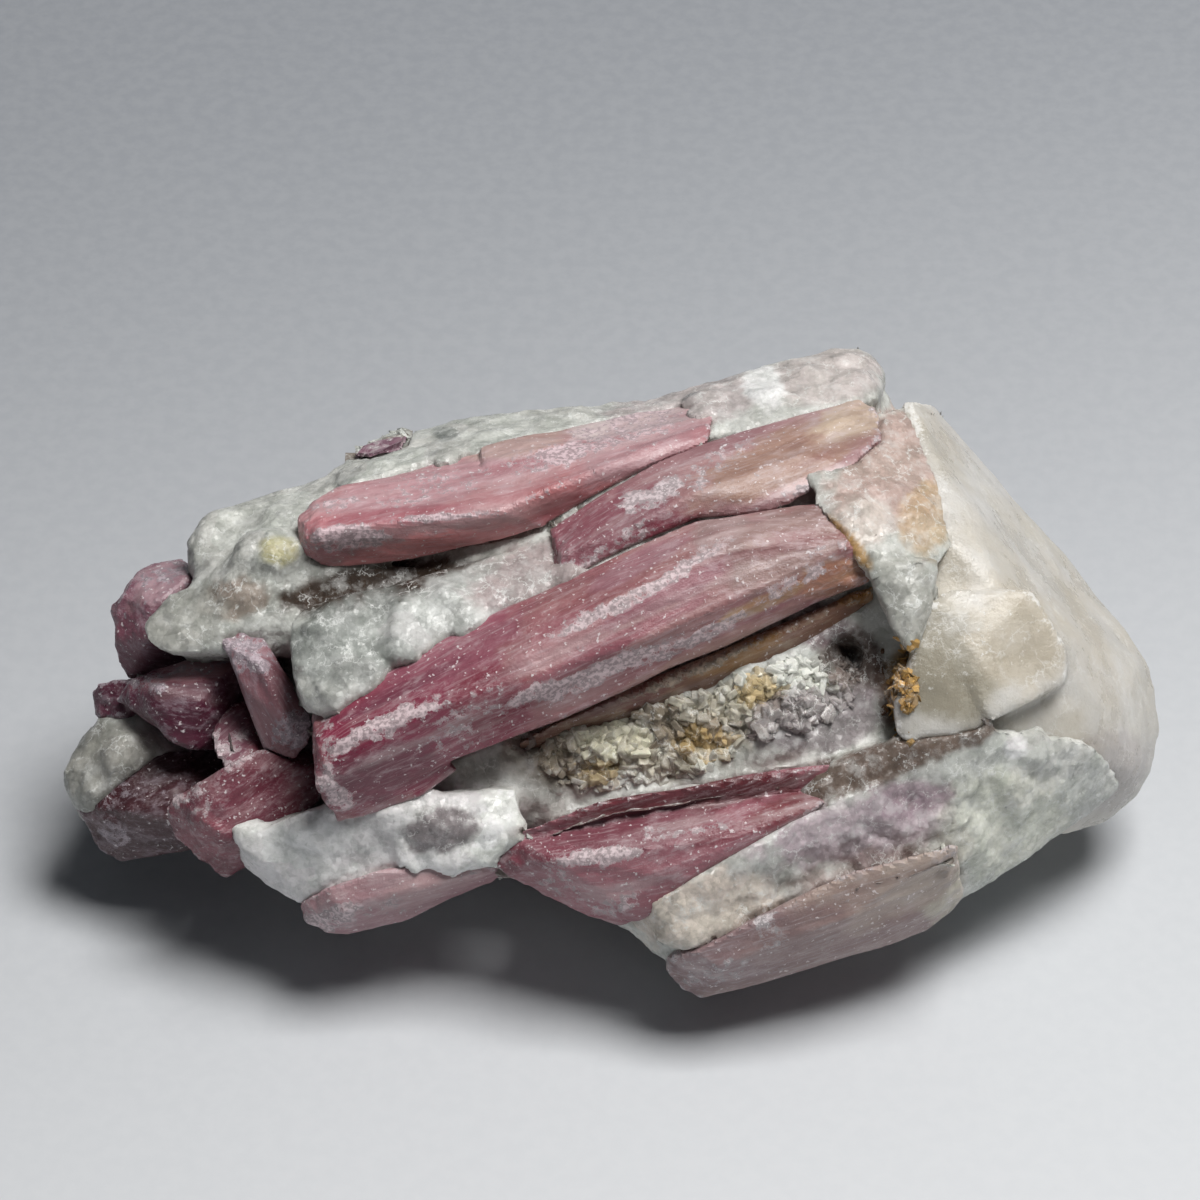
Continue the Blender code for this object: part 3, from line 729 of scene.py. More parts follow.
# %% [markdown]
# ## The paint of a prism
# Bands of deep and pale tone run along each prism, as colour does in tourmaline, and blots of
# colour and frost lie where the face shows them. Edges that stand proud are bruised first, so
# they get more frost, and hollows are painted darker, as painted shade. A blot is a spot (across,
# down, reach, spread, lean), its colour and its strength, and a frost is a spot and its strength.

# %% Prism painter
PALE_BAND = (204, 184, 184)
DEEP_SHARE = 0.40
HOLLOW_SHADE = 0.45
RICHER_DARKS = 0.35


def paint_prism(piece, squeezed, tip, seed, base, blots, frosts, deep, pale):
    """Notes the colours, the frost and the squeezed frame on a prism."""
    points, normals = points_of(piece)
    proud = -hollowness(piece, 6)
    bands = drift(squeezed, 1.6, seed + 5, 3)
    tone, _ = splits(squeezed, SPLINTER_SIZE, seed, True)
    body = np.tile(lit(base), (len(points), 1))
    body = blots_over(body, points, normals, blots, seed + 6)
    body = laid_over(body, eased(bands + 0.35 * (tone - 0.5), -0.10, 0.50) * DEEP_SHARE, deep)
    pale_bands = eased(0.6 * drift(squeezed, 0.8, seed + 9, 3) - bands, 0.10, 0.60)
    body = laid_over(body, pale_bands * pale, PALE_BAND)
    # painted shade: the hollows are darkened
    body *= (1.0 - HOLLOW_SHADE * eased(-proud, 0.02, 0.12))[:, None]
    grey = body.mean(axis=1)[:, None]
    body = grey + (1.0 + RICHER_DARKS * (1.0 - eased(grey, 0.08, 0.32))) * (body - grey)
    frost = 0.08 + 0.35 * eased(proud, 0.02, 0.12) + 0.25 * drift(squeezed, 1.2, seed + 7, 3)
    frost += 0.10 * tip
    across, down, _ = readings(points)
    ragged = 0.5 * drift(points, 1.5, seed + 8, 3)
    for *spot, amount in frosts:
        frost += amount * (1.0 - eased(away_from(across, down, spot) + ragged, 0.45, 1.15))
    note(piece, "paint", np.clip(body, 0.0, 1.0))
    note(piece, "frost", np.clip(frost, 0.0, 1.0))
    note(piece, "lengthwise", squeezed)


def finished_prism(name, solid, slot, seed, base, deep, blots=(), frosts=(), pale=0.27, voxel=0.25,
                   **shape):
    """Makes one prism from its solid: skin, shape, paint, and what it is."""
    piece = skin_of(solid, name, voxel, 1)
    squeezed, tip = shape_prism(piece, seed, **shape)
    paint_prism(piece, squeezed, tip, seed, base, blots, frosts, deep, pale)
    hand_over(piece, finishes[slot], slot, solid)
    print(name, len(piece.data.polygons), "faces")


# %% [markdown]
# ## The main prism
# The thickest crystal crosses the whole face, magenta at its broken left end and peach at its
# right. Pale sugary lines follow its ridges. They are too thin to model, so they are blots and
# frosts that lean as the prism does.

# %% The main prism
main_blots = (
    (690, 610, 270, 90, 24, (148, 110, 110), 0.95), (410, 730, 125, 85, 22, (118, 56, 72), 1.0),
    (455, 650, 80, 26, 27, (142, 94, 106), 0.9), (370, 772, 75, 30, 15, (94, 50, 62), 0.9),
    (490, 705, 46, 36, 30, (110, 56, 66), 0.9), (560, 640, 60, 24, 27, (158, 114, 120), 0.7),
    (620, 640, 120, 9, 27, (146, 98, 106), 0.8), (680, 588, 85, 13, 27, (142, 96, 106), 0.85),
    (640, 562, 60, 12, 27, (154, 118, 126), 0.8), (785, 548, 75, 50, 27, (138, 114, 110), 0.95),
    (720, 535, 26, 34, -40, (150, 130, 128), 0.7), (835, 578, 42, 22, 15, (158, 126, 98), 0.9),
    (700, 655, 130, 8, 27, (166, 134, 124), 0.7), (760, 604, 48, 8, 25, (176, 150, 102), 0.7),
    (580, 690, 50, 14, 25, (172, 142, 140), 0.7), (400, 690, 70, 7, 26, (96, 60, 72), 0.7),
)
main_frosts = (
    (395, 720, 60, 15, 24, 0.85), (348, 744, 26, 8, 24, 0.6), (338, 795, 30, 12, -40, 0.6),
    (450, 735, 34, 22, 25, 0.35), (328, 755, 10, 55, 0, 0.35), (645, 592, 95, 9, 28, 0.7),
    (575, 622, 40, 9, 27, 0.5), (600, 672, 80, 13, 27, 0.8), (695, 640, 75, 8, 27, 0.7),
    (540, 692, 34, 12, 20, 0.65), (650, 652, 60, 8, 27, 0.5), (780, 588, 60, 10, 25, 0.5),
    (822, 560, 30, 22, 20, 0.3), (700, 556, 60, 8, 27, 0.4), (480, 700, 50, 30, 25, 0.25),
)
finished_prism("main_prism", "main_crystal", "magenta_tourmaline", 101, (150, 110, 112),
               (116, 64, 76), main_blots, main_frosts, voxel=0.24)

# %% [markdown]
# ## The prisms round it
# A mauve prism that turns to peach lies against the main one, and the bright salmon one is on
# top. The rim holds a purple sliver. A brown prism is tucked in under the main one, and it is
# made here too, because all of these are made alike and only their tones and spots differ.

# %% The prisms round it
ridge_blots = (
    (610, 535, 95, 45, 25, (124, 84, 92), 0.95), (672, 522, 40, 12, 25, (112, 60, 70), 0.8),
    (720, 480, 60, 26, 25, (156, 118, 118), 0.8), (790, 455, 110, 32, 25, (156, 126, 114), 1.0),
    (835, 480, 70, 13, 15, (194, 168, 166), 0.8), (860, 415, 52, 22, 25, (184, 166, 148), 0.9),
    (570, 500, 40, 14, 30, (160, 108, 112), 0.8), (640, 560, 60, 10, 27, (164, 140, 142), 0.7),
)
ridge_frosts = (
    (650, 497, 40, 16, 25, 0.6), (600, 555, 70, 14, 25, 0.45), (700, 470, 90, 14, 25, 0.4),
    (830, 478, 60, 10, 15, 0.5), (560, 585, 40, 16, 25, 0.4),
)
finished_prism("ridge_prism", "ridge_crystal", "mauve_tourmaline", 202, (160, 126, 128),
               (126, 88, 96), ridge_blots, ridge_frosts)
upper_blots = (
    # The first blot is partly the prism's salmon and partly painted light: the lower facet looks away
    # from the lamp and is painted paler to make up for its shade.
    (440, 552, 150, 20, 10, (214, 138, 140), 0.95), (320, 540, 34, 30, 0, (184, 124, 130), 0.9),
    (450, 478, 130, 22, 14, (182, 144, 150), 0.8), (570, 500, 60, 26, 25, (172, 110, 112), 0.9),
    (515, 442, 60, 16, 10, (176, 150, 142), 0.9), (640, 450, 70, 26, 22, (180, 150, 154), 0.8),
    (640, 418, 70, 14, 15, (190, 176, 176), 0.8), (400, 515, 80, 8, 5, (160, 96, 106), 0.7),
    (590, 425, 24, 16, 0, (206, 194, 192), 0.7),
)
upper_frosts = (
    (350, 537, 42, 16, 0, 0.85), (335, 505, 40, 8, 10, 0.6), (440, 517, 60, 4, 3, 0.9),
    (430, 488, 80, 18, 12, 0.4), (540, 460, 60, 16, 12, 0.4), (620, 432, 90, 24, 18, 0.5),
)
finished_prism("upper_prism", "upper_crystal", "salmon_tourmaline", 303, (176, 128, 132),
               (148, 90, 98), upper_blots, upper_frosts)
finished_prism("rim_prism", "rim_crystal", "mauve_tourmaline", 351, (128, 100, 112),
               (98, 72, 86), (), ((385, 440, 40, 20, 10, 0.3),), swell=-0.25)
under_blots = (
    (735, 655, 55, 14, 25, (146, 112, 74), 0.85), (858, 590, 32, 16, 20, (148, 108, 64), 0.9),
    (640, 690, 60, 16, 25, (116, 80, 74), 0.8),
)
# painted shade: its base and deep tones are darker than the other prisms', partly its brown colour and
# partly the shade it lies in under the main prism
finished_prism("under_prism", "under_crystal", "brown_tourmaline", 404, (120, 92, 78),
               (86, 58, 52), under_blots, ((700, 670, 90, 10, 25, 0.35),), voxel=0.28)

# %% [markdown]
# ## The prisms below it
# Below the druse the crystals are cut short by the broken edge: a deep magenta wedge, a lavender
# prism along the bottom with little colour left, and a pink one at the lower left.

# %% The prisms below it
lower_blots = (
    # The first blot is partly the prism's deep magenta and partly painted shade under the druse's
    # overhang.
    (690, 798, 140, 18, 8, (84, 46, 50), 1.0), (600, 840, 115, 26, 12, (112, 72, 80), 0.95),
    (590, 885, 80, 30, 10, (150, 102, 110), 0.95), (790, 812, 60, 20, 14, (104, 64, 66), 0.8),
    (620, 808, 70, 8, 12, (120, 68, 74), 0.7), (740, 830, 60, 12, 14, (110, 68, 74), 0.7),
)
lower_frosts = (
    (600, 856, 50, 10, 8, 0.85), (690, 832, 60, 6, 10, 0.5), (620, 905, 40, 10, 15, 0.5),
    (560, 885, 40, 16, -30, 0.35), (650, 830, 20, 10, 0, 0.5),
)
finished_prism("lower_prism", "lower_crystal", "rose_tourmaline", 505, (140, 96, 104),
               (106, 62, 70), lower_blots, lower_frosts)
front_blots = (
    (700, 930, 40, 40, 20, (132, 110, 112), 0.8), (950, 880, 40, 50, 10, (186, 182, 166), 0.9),
    (735, 950, 85, 34, 20, (140, 120, 122), 0.9), (870, 895, 90, 34, 20, (166, 148, 138), 0.9),
    (800, 935, 60, 24, 20, (148, 126, 124), 0.8), (920, 870, 50, 30, 20, (176, 162, 150), 0.8),
)
finished_prism("front_prism", "front_crystal", "lavender_tourmaline", 606, (148, 128, 126),
               (118, 94, 94), front_blots, ((770, 935, 16, 40, 20, 0.4), (720, 970, 50, 16, 15, 0.4)))
finished_prism("corner_prism", "corner_crystal", "rose_tourmaline", 707, (160, 124, 130),
               (126, 82, 92), ((430, 885, 60, 20, 25, (170, 140, 142), 0.8),),
               ((340, 915, 40, 14, 10, 0.7), (390, 905, 20, 16, 60, 0.4)))

# %% [markdown]
# ## The broken prisms at the left
# At the left the prisms are snapped off, and the stubs show their dark, plum-coloured ends. These
# are chipped a little less than those of the long prisms, or they would lose their shape.

# %% The broken prisms at the left
high_blots = (
    (165, 580, 40, 20, 25, (168, 138, 146), 0.9), (128, 640, 22, 44, -10, (116, 80, 90), 0.9),
)
finished_prism("stub_prism_high", "stub_high", "plum_tourmaline", 808, (112, 80, 90),
               (74, 46, 56), high_blots, ((170, 570, 40, 12, 25, 0.5),), pale=0.2, ends=0.9)
middle_blots = ((190, 672, 60, 14, 15, (150, 110, 116), 0.7), (180, 708, 50, 26, 0, (72, 38, 50), 0.95))
finished_prism("stub_prism_middle", "stub_middle", "plum_tourmaline", 818, (84, 50, 62),
               (56, 30, 40), middle_blots, ((180, 675, 60, 12, 15, 0.4),), pale=0.12, ends=0.9)
front_stub_blots = (
    (225, 735, 30, 34, 0, (116, 84, 94), 0.8), (230, 810, 60, 34, 20, (100, 56, 66), 0.9),
    (200, 840, 36, 20, 10, (128, 80, 88), 0.8),
)
finished_prism("stub_prism_front", "stub_front", "rose_tourmaline", 828, (104, 62, 70),
               (76, 42, 50), front_stub_blots, ((190, 800, 30, 30, 0, 0.25), (235, 745, 30, 20, 10, 0.4)),
               pale=0.15, ends=0.9)
finished_prism("stub_prism_low", "stub_low", "plum_tourmaline", 838, (66, 42, 46),
               (44, 26, 30), (), ((115, 835, 20, 22, 60, 0.5), (150, 790, 60, 20, 20, 0.2)),
               pale=0.1, ends=0.9)
finished_prism("small_prism", "small_column", "plum_tourmaline", 848, (132, 98, 104),
               (84, 54, 60), (), ((250, 655, 34, 26, -40, 0.6), (290, 730, 20, 34, -60, 0.6)), pale=0.2)

# %% [markdown]
# ## The prisms on the back and the underside
# The photograph shows one face, so these are worked out: prisms that run with those in front.
# They get the same ribs and colours as their neighbours, on a coarser skin.

# %% Hidden prisms
for name, solid, slot, seed, base, deep in (
    ("back_prism_upper", "back_crystal_upper", "mauve_tourmaline", 909, (160, 122, 130), (128, 80, 92)),
    ("back_prism_lower", "back_crystal_lower", "rose_tourmaline", 919, (150, 102, 112), (112, 62, 76)),
    ("sole_prism", "sole_crystal", "plum_tourmaline", 929, (112, 76, 86), (80, 46, 58)),
):
    finished_prism(name, solid, slot, seed, base, deep, voxel=0.42)

# %% [markdown]
# ## Light inside the stone
# Light goes a millimetre or two into milky quartz and feldspar before it comes out again. Without
# the shader's subsurface scattering they look like chalk. The prisms go without it, because it
# makes their render slow.

# %% Glow
def glow(shader, weight, hue, depth):
    """Lets light travel depth millimetres under the surface."""
    shader.subsurface_method = "BURLEY"
    shader.inputs["Subsurface Weight"].default_value = weight
    shader.inputs["Subsurface Radius"].default_value = hue
    shader.inputs["Subsurface Scale"].default_value = depth * MM


# %% [markdown]
# ## The quartz end
# Quartz has no cleavage: it breaks in smooth, slightly wavy faces, and this piece is milky, with
# veils and healed cracks inside it. Its skin is softened well, and only shallow scoops and soft
# swells are laid on it. Warm and green blots follow what shines through from inside.

# %% Quartz finish
QUARTZ_IOR = 1.54
QUARTZ_VEIL = (224, 223, 220)
QUARTZ_CRACK = (232, 231, 228)
QUARTZ_SUGAR = (236, 235, 232)


def quartz_finish():
    material, tree, shader = new_finish("milky_quartz")
    place = own_place(tree)
    paint = read(tree, "paint").outputs["Color"]
    frost = read(tree, "frost").outputs["Fac"]
    veil = speckle(tree, place, 190.0, 8.0, 0.68)
    cloud = speckle(tree, place, 90.0, 3.0, 0.5)
    sugar = speckle(tree, place, 1500.0, 5.0, 0.72)
    zone = part_of(tree, patches(tree, place, 150.0, 0.2))
    crack = cracks(tree, place, 260.0, 0.03)
    # Warm clouds, dark veils and zones, then cracks and pale veils
    colour = deepened(tree, step_between(tree, cloud, 0.44, 0.58, 0.0, 0.7), paint, (0.98, 0.94, 0.86))
    colour = deepened(tree, step_between(tree, veil, 0.52, 0.38, 0.0, 0.65), colour, (0.80, 0.78, 0.74))
    colour = deepened(tree, product(tree, zone, 0.26), colour, (0.66, 0.67, 0.62))
    colour = glazed(tree, product(tree, crack, 0.5), colour, QUARTZ_CRACK)
    colour = glazed(tree, step_between(tree, veil, 0.52, 0.66, 0.0, 0.40), colour, QUARTZ_VEIL)
    white = sugared(tree, sugar, frost)
    colour = glazed(tree, product(tree, white, 0.7), colour, QUARTZ_SUGAR)
    dull = step_between(tree, veil, 0.35, 0.65, 0.24, 0.40)
    rough = figure(tree, "ADD", dull, product(tree, white, 0.3))
    feed(tree, shader, colour, rough, raised(tree, sugar, 0.05, raised(tree, veil, 0.35)))
    shader.inputs["IOR"].default_value = QUARTZ_IOR
    glow(shader, 0.5, (1.0, 0.92, 0.8), 2.5)
    return material


# %% Quartz piece
QUARTZ_VOXEL = 0.36
QUARTZ_SOFTENING = 14
QUARTZ_TONE = (190, 187, 182)
SCOOP_SIZE, SCOOP_DEPTH = 7.0, 0.10
SWELL_SIZE, SWELL_DEPTH = 4.0, 0.10

quartz = skin_of("quartz_end", "quartz_end_piece", QUARTZ_VOXEL, QUARTZ_SOFTENING)
points, normals = points_of(quartz)
_, scoop = splits(points, SCOOP_SIZE, 31)
move = 0.25 - SCOOP_DEPTH * scoop + SWELL_DEPTH * drift(points, SWELL_SIZE, 32, 3)
move += 0.02 * drift(points, 0.9, 33)
put_points(quartz, points + normals * move[:, None])
quartz_blots = (
    (940, 660, 60, 80, 60, (152, 146, 132), 0.9), (1015, 640, 50, 55, 30, (182, 174, 160), 0.9),
    (1100, 770, 60, 40, 20, (172, 167, 166), 0.8), (1010, 520, 60, 90, 50, (194, 192, 189), 0.8),
)
points, normals = points_of(quartz)
body = np.tile(lit(QUARTZ_TONE), (len(points), 1))
frost = 0.05 + 0.6 * eased(-hollowness(quartz, 10), 0.06, 0.22) + 0.3 * drift(points, 5.0, 36, 3)
note(quartz, "frost", np.clip(frost, 0.0, 1.0))
note(quartz, "paint", np.clip(blots_over(body, points, normals, quartz_blots, 35, 0.3), 0.0, 1.0))
hand_over(quartz, quartz_finish(), "milky_quartz", "quartz_end")
print("quartz:", len(quartz.data.polygons), "faces")

# %% [markdown]
# ## The feldspar's finish
# Feldspar cleaves: every grain ends in a small flat of its own tilt, and together they look like
# coarse sugar. The finish gives each crumb and each slab its own tilt by bump and its own tone,
# over veils, zones with a pinkish tinge, and healed cracks.

# %% Feldspar finish
FELDSPAR_WHITE = (238, 240, 238)
FELDSPAR_VEIL = (226, 228, 226)
FACET_BUMP = 320.0


def feldspar_finish():
    material, tree, shader = new_finish("feldspar_rock")
    place = own_place(tree)
    paint = read(tree, "paint").outputs["Color"]
    veil = speckle(tree, place, 520.0, 7.0, 0.70)
    sugar = speckle(tree, place, 1700.0, 5.0, 0.74)
    block = patches(tree, place, 240.0, 0.18)
    crack = cracks(tree, place, 620.0)
    crumb, crumb_tone = facets(tree, place, 2600.0)
    slab, _ = facets(tree, place, 900.0)
    crumb_share = part_of(tree, crumb_tone)
    # Glassy veils, then zones and crumbs, then all that is white
    colour = deepened(tree, step_between(tree, veil, 0.52, 0.40, 0.0, 0.60), paint, (0.72, 0.74, 0.72))
    colour = deepened(tree, product(tree, part_of(tree, block), 0.42), colour, (0.64, 0.66, 0.64))
    colour = deepened(tree, product(tree, part_of(tree, block, 1), 0.30), colour, (0.86, 0.76, 0.80))
    colour = deepened(tree, product(tree, crumb_share, 0.30), colour, (0.66, 0.67, 0.66))
    colour = glazed(tree, product(tree, crack, 0.6), colour, FELDSPAR_WHITE)
    colour = glazed(tree, step_between(tree, veil, 0.50, 0.64, 0.0, 0.30), colour, FELDSPAR_VEIL)
    white = step_between(tree, sugar, 0.58, 0.68)
    colour = glazed(tree, product(tree, white, 0.55), colour, FELDSPAR_WHITE)
    rough = step_between(tree, crumb_share, 0.0, 1.0, 0.26, 0.60)
    bump = raised(tree, slab, FACET_BUMP, raised(tree, veil, 0.08))
    bump = raised(tree, sugar, 0.05, bump)
    feed(tree, shader, colour, rough, raised(tree, crumb, FACET_BUMP, bump))
    glow(shader, 0.4, (1.0, 0.97, 0.92), 1.4)
    return material


# %% [markdown]
# ## The shape of the rock
# The rock wraps round every other piece, and its solid keeps a gap to each. Copies of the others,
# grown a little, are joined to it before it gets its skin, which closes the gaps. Where the skin
# lies on a copy, it is sunk under the real piece. Creases beside the prisms are filled, as
# feldspar grows up against a crystal, and lumps are worn down. Then the skin is moved block by
# block at three sizes, and most in the rough druse.

# %% Rock skin
ROCK_VOXEL = 0.36
CLOSING_GROWTH = 0.2

held = [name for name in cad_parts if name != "matrix"]
rock = merged_copy(["matrix"], "rock_upper")
grown_copies = merged_copy(held, "grown_copies", CLOSING_GROWTH)
alone(rock)
grown_copies.select_set(True)
bpy.ops.object.join()
even_out(rock, ROCK_VOXEL, 2)
points, normals = points_of(rock)


def distances_to(solids):
    """Millimetres from each point of the rock's skin to the nearest of these solids."""
    gathered = merged_copy(solids, "shell")
    tree = BVHTree.FromPolygons([v.co / MM for v in gathered.data.vertices],
                                [tuple(face.vertices) for face in gathered.data.polygons])
    bpy.data.objects.remove(gathered)
    return np.array([tree.find_nearest(Vector(point))[3] for point in points])


to_rock = distances_to(["matrix"])
to_held = distances_to(held)
print("rock skin:", len(rock.data.polygons), "faces")

# %% Rock relief
SUNK_UNDER = 1.1
CREASE_FILL = 0.9
LUMP_WEAR = 0.95
PLAIN_RELIEF = 0.34
SPOT_RELIEF = 0.55
BLOCK_SIZE, BLOCK_DEPTH = 5.2, 0.16
GRAIN_SIZE, GRAIN_DEPTH = 2.3, 0.50
CRUMB_SIZE, CRUMB_DEPTH = 1.15, 0.42

covered = eased(to_rock - to_held, -0.15, 0.45)
crease = evened(rock, hollowness(rock, 40), 5)
rock_side = np.maximum(eased(to_held, 0.20, 0.8), 0.8 * eased(crease, 0.7, 1.3))
covered *= 1.0 - eased(crease, 0.12, 0.45) * rock_side
rough_spots = (
    (640, 740, 120, 50, 8, 2.6), (780, 700, 90, 40, 15, 2.4), (860, 660, 40, 50, 0, 0.9),
    (1010, 790, 80, 50, 20, 0.9), (860, 820, 110, 30, 15, 0.9), (300, 620, 60, 40, 0, 0.8),
)
across, down, _ = readings(points)
relief = np.full(len(points), PLAIN_RELIEF)
for *spot, amount in rough_spots:
    rough = amount * (1.0 - eased(away_from(across, down, spot), 0.6, 1.2))
    relief = np.maximum(relief, rough * SPOT_RELIEF)
_, block = splits(points, BLOCK_SIZE, 51)
_, grain = splits(points, GRAIN_SIZE, 52)
_, crumb = splits(points, CRUMB_SIZE, 53)
move = relief * (BLOCK_DEPTH * block + GRAIN_DEPTH * grain + CRUMB_DEPTH * crumb)
move = 0.10 - move - SUNK_UNDER * covered + CREASE_FILL * np.clip(crease, 0.0, 1.6) * rock_side
move += LUMP_WEAR * np.clip(crease, -0.8, 0.0)
put_points(rock, points + normals * move[:, None])
print("rock moved by", round(float(move.min()), 2), "to", round(float(move.max()), 2), "mm")

# %% [markdown]
# ## The colours of the rock
# White feldspar turns greenish, pink or smoky from place to place, with iron stains beside the
# quartz. These are blots again, from the shaded pocket at the top to the mica at the lower right.
# Some blots are painted shade, in pockets, gaps and under overhangs; some are painted light: white
# glints and a pale patch on a face that looks away from the lamp. The hollows are painted darker
# and brown, as painted shade, and each block has a tone of its own.

# %% Feldspar colours
ROCK_TONE = (192, 194, 189)
CREVICE_SHADE_TONE = (96, 76, 62)
CREVICE_SHADE_SHARE = 0.75

rock_blots = (
    # painted shade: the first two blots darken the pocket under the upper prism, brownish
    (385, 586, 120, 26, 10, (66, 54, 46), 1.0), (235, 600, 36, 26, 0, (140, 124, 112), 0.8),
    (280, 550, 22, 16, 0, (176, 168, 110), 0.7),
    (360, 640, 80, 46, 20, (146, 150, 147), 0.8), (470, 600, 110, 34, 20, (196, 198, 196), 0.8),
    (530, 575, 60, 34, 20, (160, 144, 144), 0.8),
    (700, 400, 110, 26, 15, (178, 168, 168), 0.8), (830, 375, 60, 34, 10, (198, 188, 186), 0.8),
    (890, 470, 70, 60, 40, (180, 156, 148), 0.9), (865, 520, 26, 26, 20, (206, 196, 188), 0.9),
    (930, 520, 30, 46, -20, (186, 162, 132), 0.8), (850, 545, 36, 8, -50, (176, 136, 78), 0.9),
    (905, 690, 20, 44, 10, (180, 146, 96), 0.85), (884, 690, 8, 40, 10, (92, 64, 42), 0.8),
    (905, 590, 34, 50, 10, (166, 166, 160), 0.9),
    # The first blot is partly smoky brown and partly painted shade: it darkens the cavity in the druse.
    (852, 662, 34, 36, 0, (84, 66, 60), 0.9), (822, 628, 34, 20, 20, (126, 108, 112), 0.85),
    # painted shade, over some dark colour: a dark band along the foot of the druse, under its overhang
    (640, 815, 150, 14, 8, (96, 64, 64), 0.9),
    (640, 735, 130, 50, 10, (160, 152, 134), 0.8), (610, 735, 40, 34, 20, (180, 178, 160), 0.8),
    (565, 765, 30, 26, 0, (128, 114, 96), 0.6), (665, 722, 28, 24, 0, (96, 78, 58), 0.7),
    (695, 735, 40, 18, 20, (108, 92, 74), 0.7), (700, 742, 30, 18, 0, (170, 142, 84), 0.7),
    (760, 692, 24, 16, 0, (176, 150, 92), 0.7), (600, 770, 26, 14, 0, (166, 142, 90), 0.6),
    (820, 720, 66, 36, 10, (140, 130, 134), 0.8),
    # painted highlights: white glints, one on the mica at the top and one at the lower right
    (762, 386, 20, 27, 30, (255, 255, 255), 1.0), (1016, 748, 15, 13, 0, (255, 255, 255), 0.9),
    (378, 842, 40, 7, 5, (226, 230, 232), 0.8), (445, 434, 15, 9, 0, (118, 124, 120), 0.9),
    # painted shade, over some dark colour: the band under the druse's overhang, further right
    (860, 770, 160, 22, 18, (88, 68, 56), 0.9),
    (860, 830, 110, 34, 12, (186, 170, 178), 0.85), (710, 910, 76, 40, 10, (212, 200, 188), 0.85),
    (870, 890, 90, 40, 12, (148, 128, 124), 0.7), (1000, 825, 70, 60, 0, (206, 208, 196), 0.8),
    (910, 800, 44, 22, 10, (158, 138, 148), 0.8),
    # painted light: the first blot paints the lower left face, which looks down away from the lamp,
    # almost white
    (350, 850, 190, 60, 15, (252, 254, 252), 0.9), (442, 830, 44, 22, 10, (104, 92, 96), 0.85),
    (180, 620, 50, 40, 0, (172, 172, 166), 0.8), (110, 770, 54, 60, 0, (140, 138, 130), 0.7),
    # painted shade: a very dark blot in the deep gap behind the left stubs
    (255, 720, 52, 90, 10, (66, 44, 48), 0.85),
)
points, normals = points_of(rock)
tone, _ = splits(points, GRAIN_SIZE, 52)
small_tone, _ = splits(points, CRUMB_SIZE, 53)
body = np.tile(lit(ROCK_TONE), (len(points), 1))
body = blots_over(body, points, normals, rock_blots, 55)
body *= (0.86 + 0.20 * tone + 0.14 * small_tone)[:, None]
# painted shade: hollows are darkened towards brown
crevice_shade = eased(hollowness(rock, 8) + 0.10 * drift(points, 3.0, 56, 2), 0.06, 0.34) * CREVICE_SHADE_SHARE
body = laid_over(body, crevice_shade, CREVICE_SHADE_TONE)
note(rock, "paint", np.clip(body, 0.0, 1.0))
print("dirt covers", round(float(crevice_shade.mean()), 3))

# %% [markdown]
# ## Two pieces of rock
# The skin has too many faces for one piece. It is cut in two along the underside of the main
# prism, which hides the cut, and both halves stand for the same solid.

# %% Upper and lower rock
SPLIT_FROM = at(312, 790, 0)
SPLIT_TO = at(868, 580, 0)
EDGE_ANGLE = math.radians(50.0)

feldspar = feldspar_finish()
split_way = (SPLIT_TO - SPLIT_FROM).cross(Vector(OUT_OF_FACE)).normalized()
lower_rock = bpy.data.objects.new("rock_lower", rock.data.copy())
bpy.context.collection.objects.link(lower_rock)
for piece, keep_upper in ((rock, True), (lower_rock, False)):
    alone(piece)
    bpy.ops.object.mode_set(mode="EDIT")
    bpy.ops.mesh.select_all(action="SELECT")
    bpy.ops.mesh.bisect(
        plane_co=SPLIT_FROM * MM, plane_no=split_way, use_fill=True,
        clear_inner=(split_way.z > 0.0) == keep_upper, clear_outer=(split_way.z > 0.0) != keep_upper,
    )
    bpy.ops.object.mode_set(mode="OBJECT")
    bpy.ops.object.shade_smooth_by_angle(angle=EDGE_ANGLE)
    hand_over(piece, feldspar, "feldspar_rock", "matrix")
    print(piece.name, len(piece.data.polygons), "faces")

# %% [markdown]
# ## Loose-looking grains
# The druse and the broken feldspar bristle with small cleaved grains, too small for the skin.
# Three are modelled, a block, a blade and a flake: each is a cube, squeezed, cut aslant and
# bevelled. Hundreds of copies, each turned and sized its own way and half sunk, become one mesh.

# %% Three cleaved grains
def cleaved_grain(name, squeeze, bevel, cut):
    """A small cleaved block, one unit long: its corners and faces. Cut is the plane that trims it."""
    bpy.ops.object.select_all(action="DESELECT")
    bpy.ops.mesh.primitive_cube_add(size=1.0)
    grain = bpy.context.object
    grain.name = name
    bpy.ops.object.mode_set(mode="EDIT")
    bpy.ops.mesh.select_all(action="SELECT")
    bpy.ops.transform.resize(value=squeeze)
    bpy.ops.mesh.bisect(plane_co=cut[0], plane_no=cut[1], use_fill=True, clear_outer=True)
    bpy.ops.mesh.select_all(action="SELECT")
    bpy.ops.mesh.bevel(offset=bevel, segments=1)
    bpy.ops.object.mode_set(mode="OBJECT")
    corners = np.array([tuple(vertex.co) for vertex in grain.data.vertices])
    faces = [tuple(face.vertices) for face in grain.data.polygons]
    bpy.data.objects.remove(grain)
    print(name, len(faces), "faces")
    return corners, faces


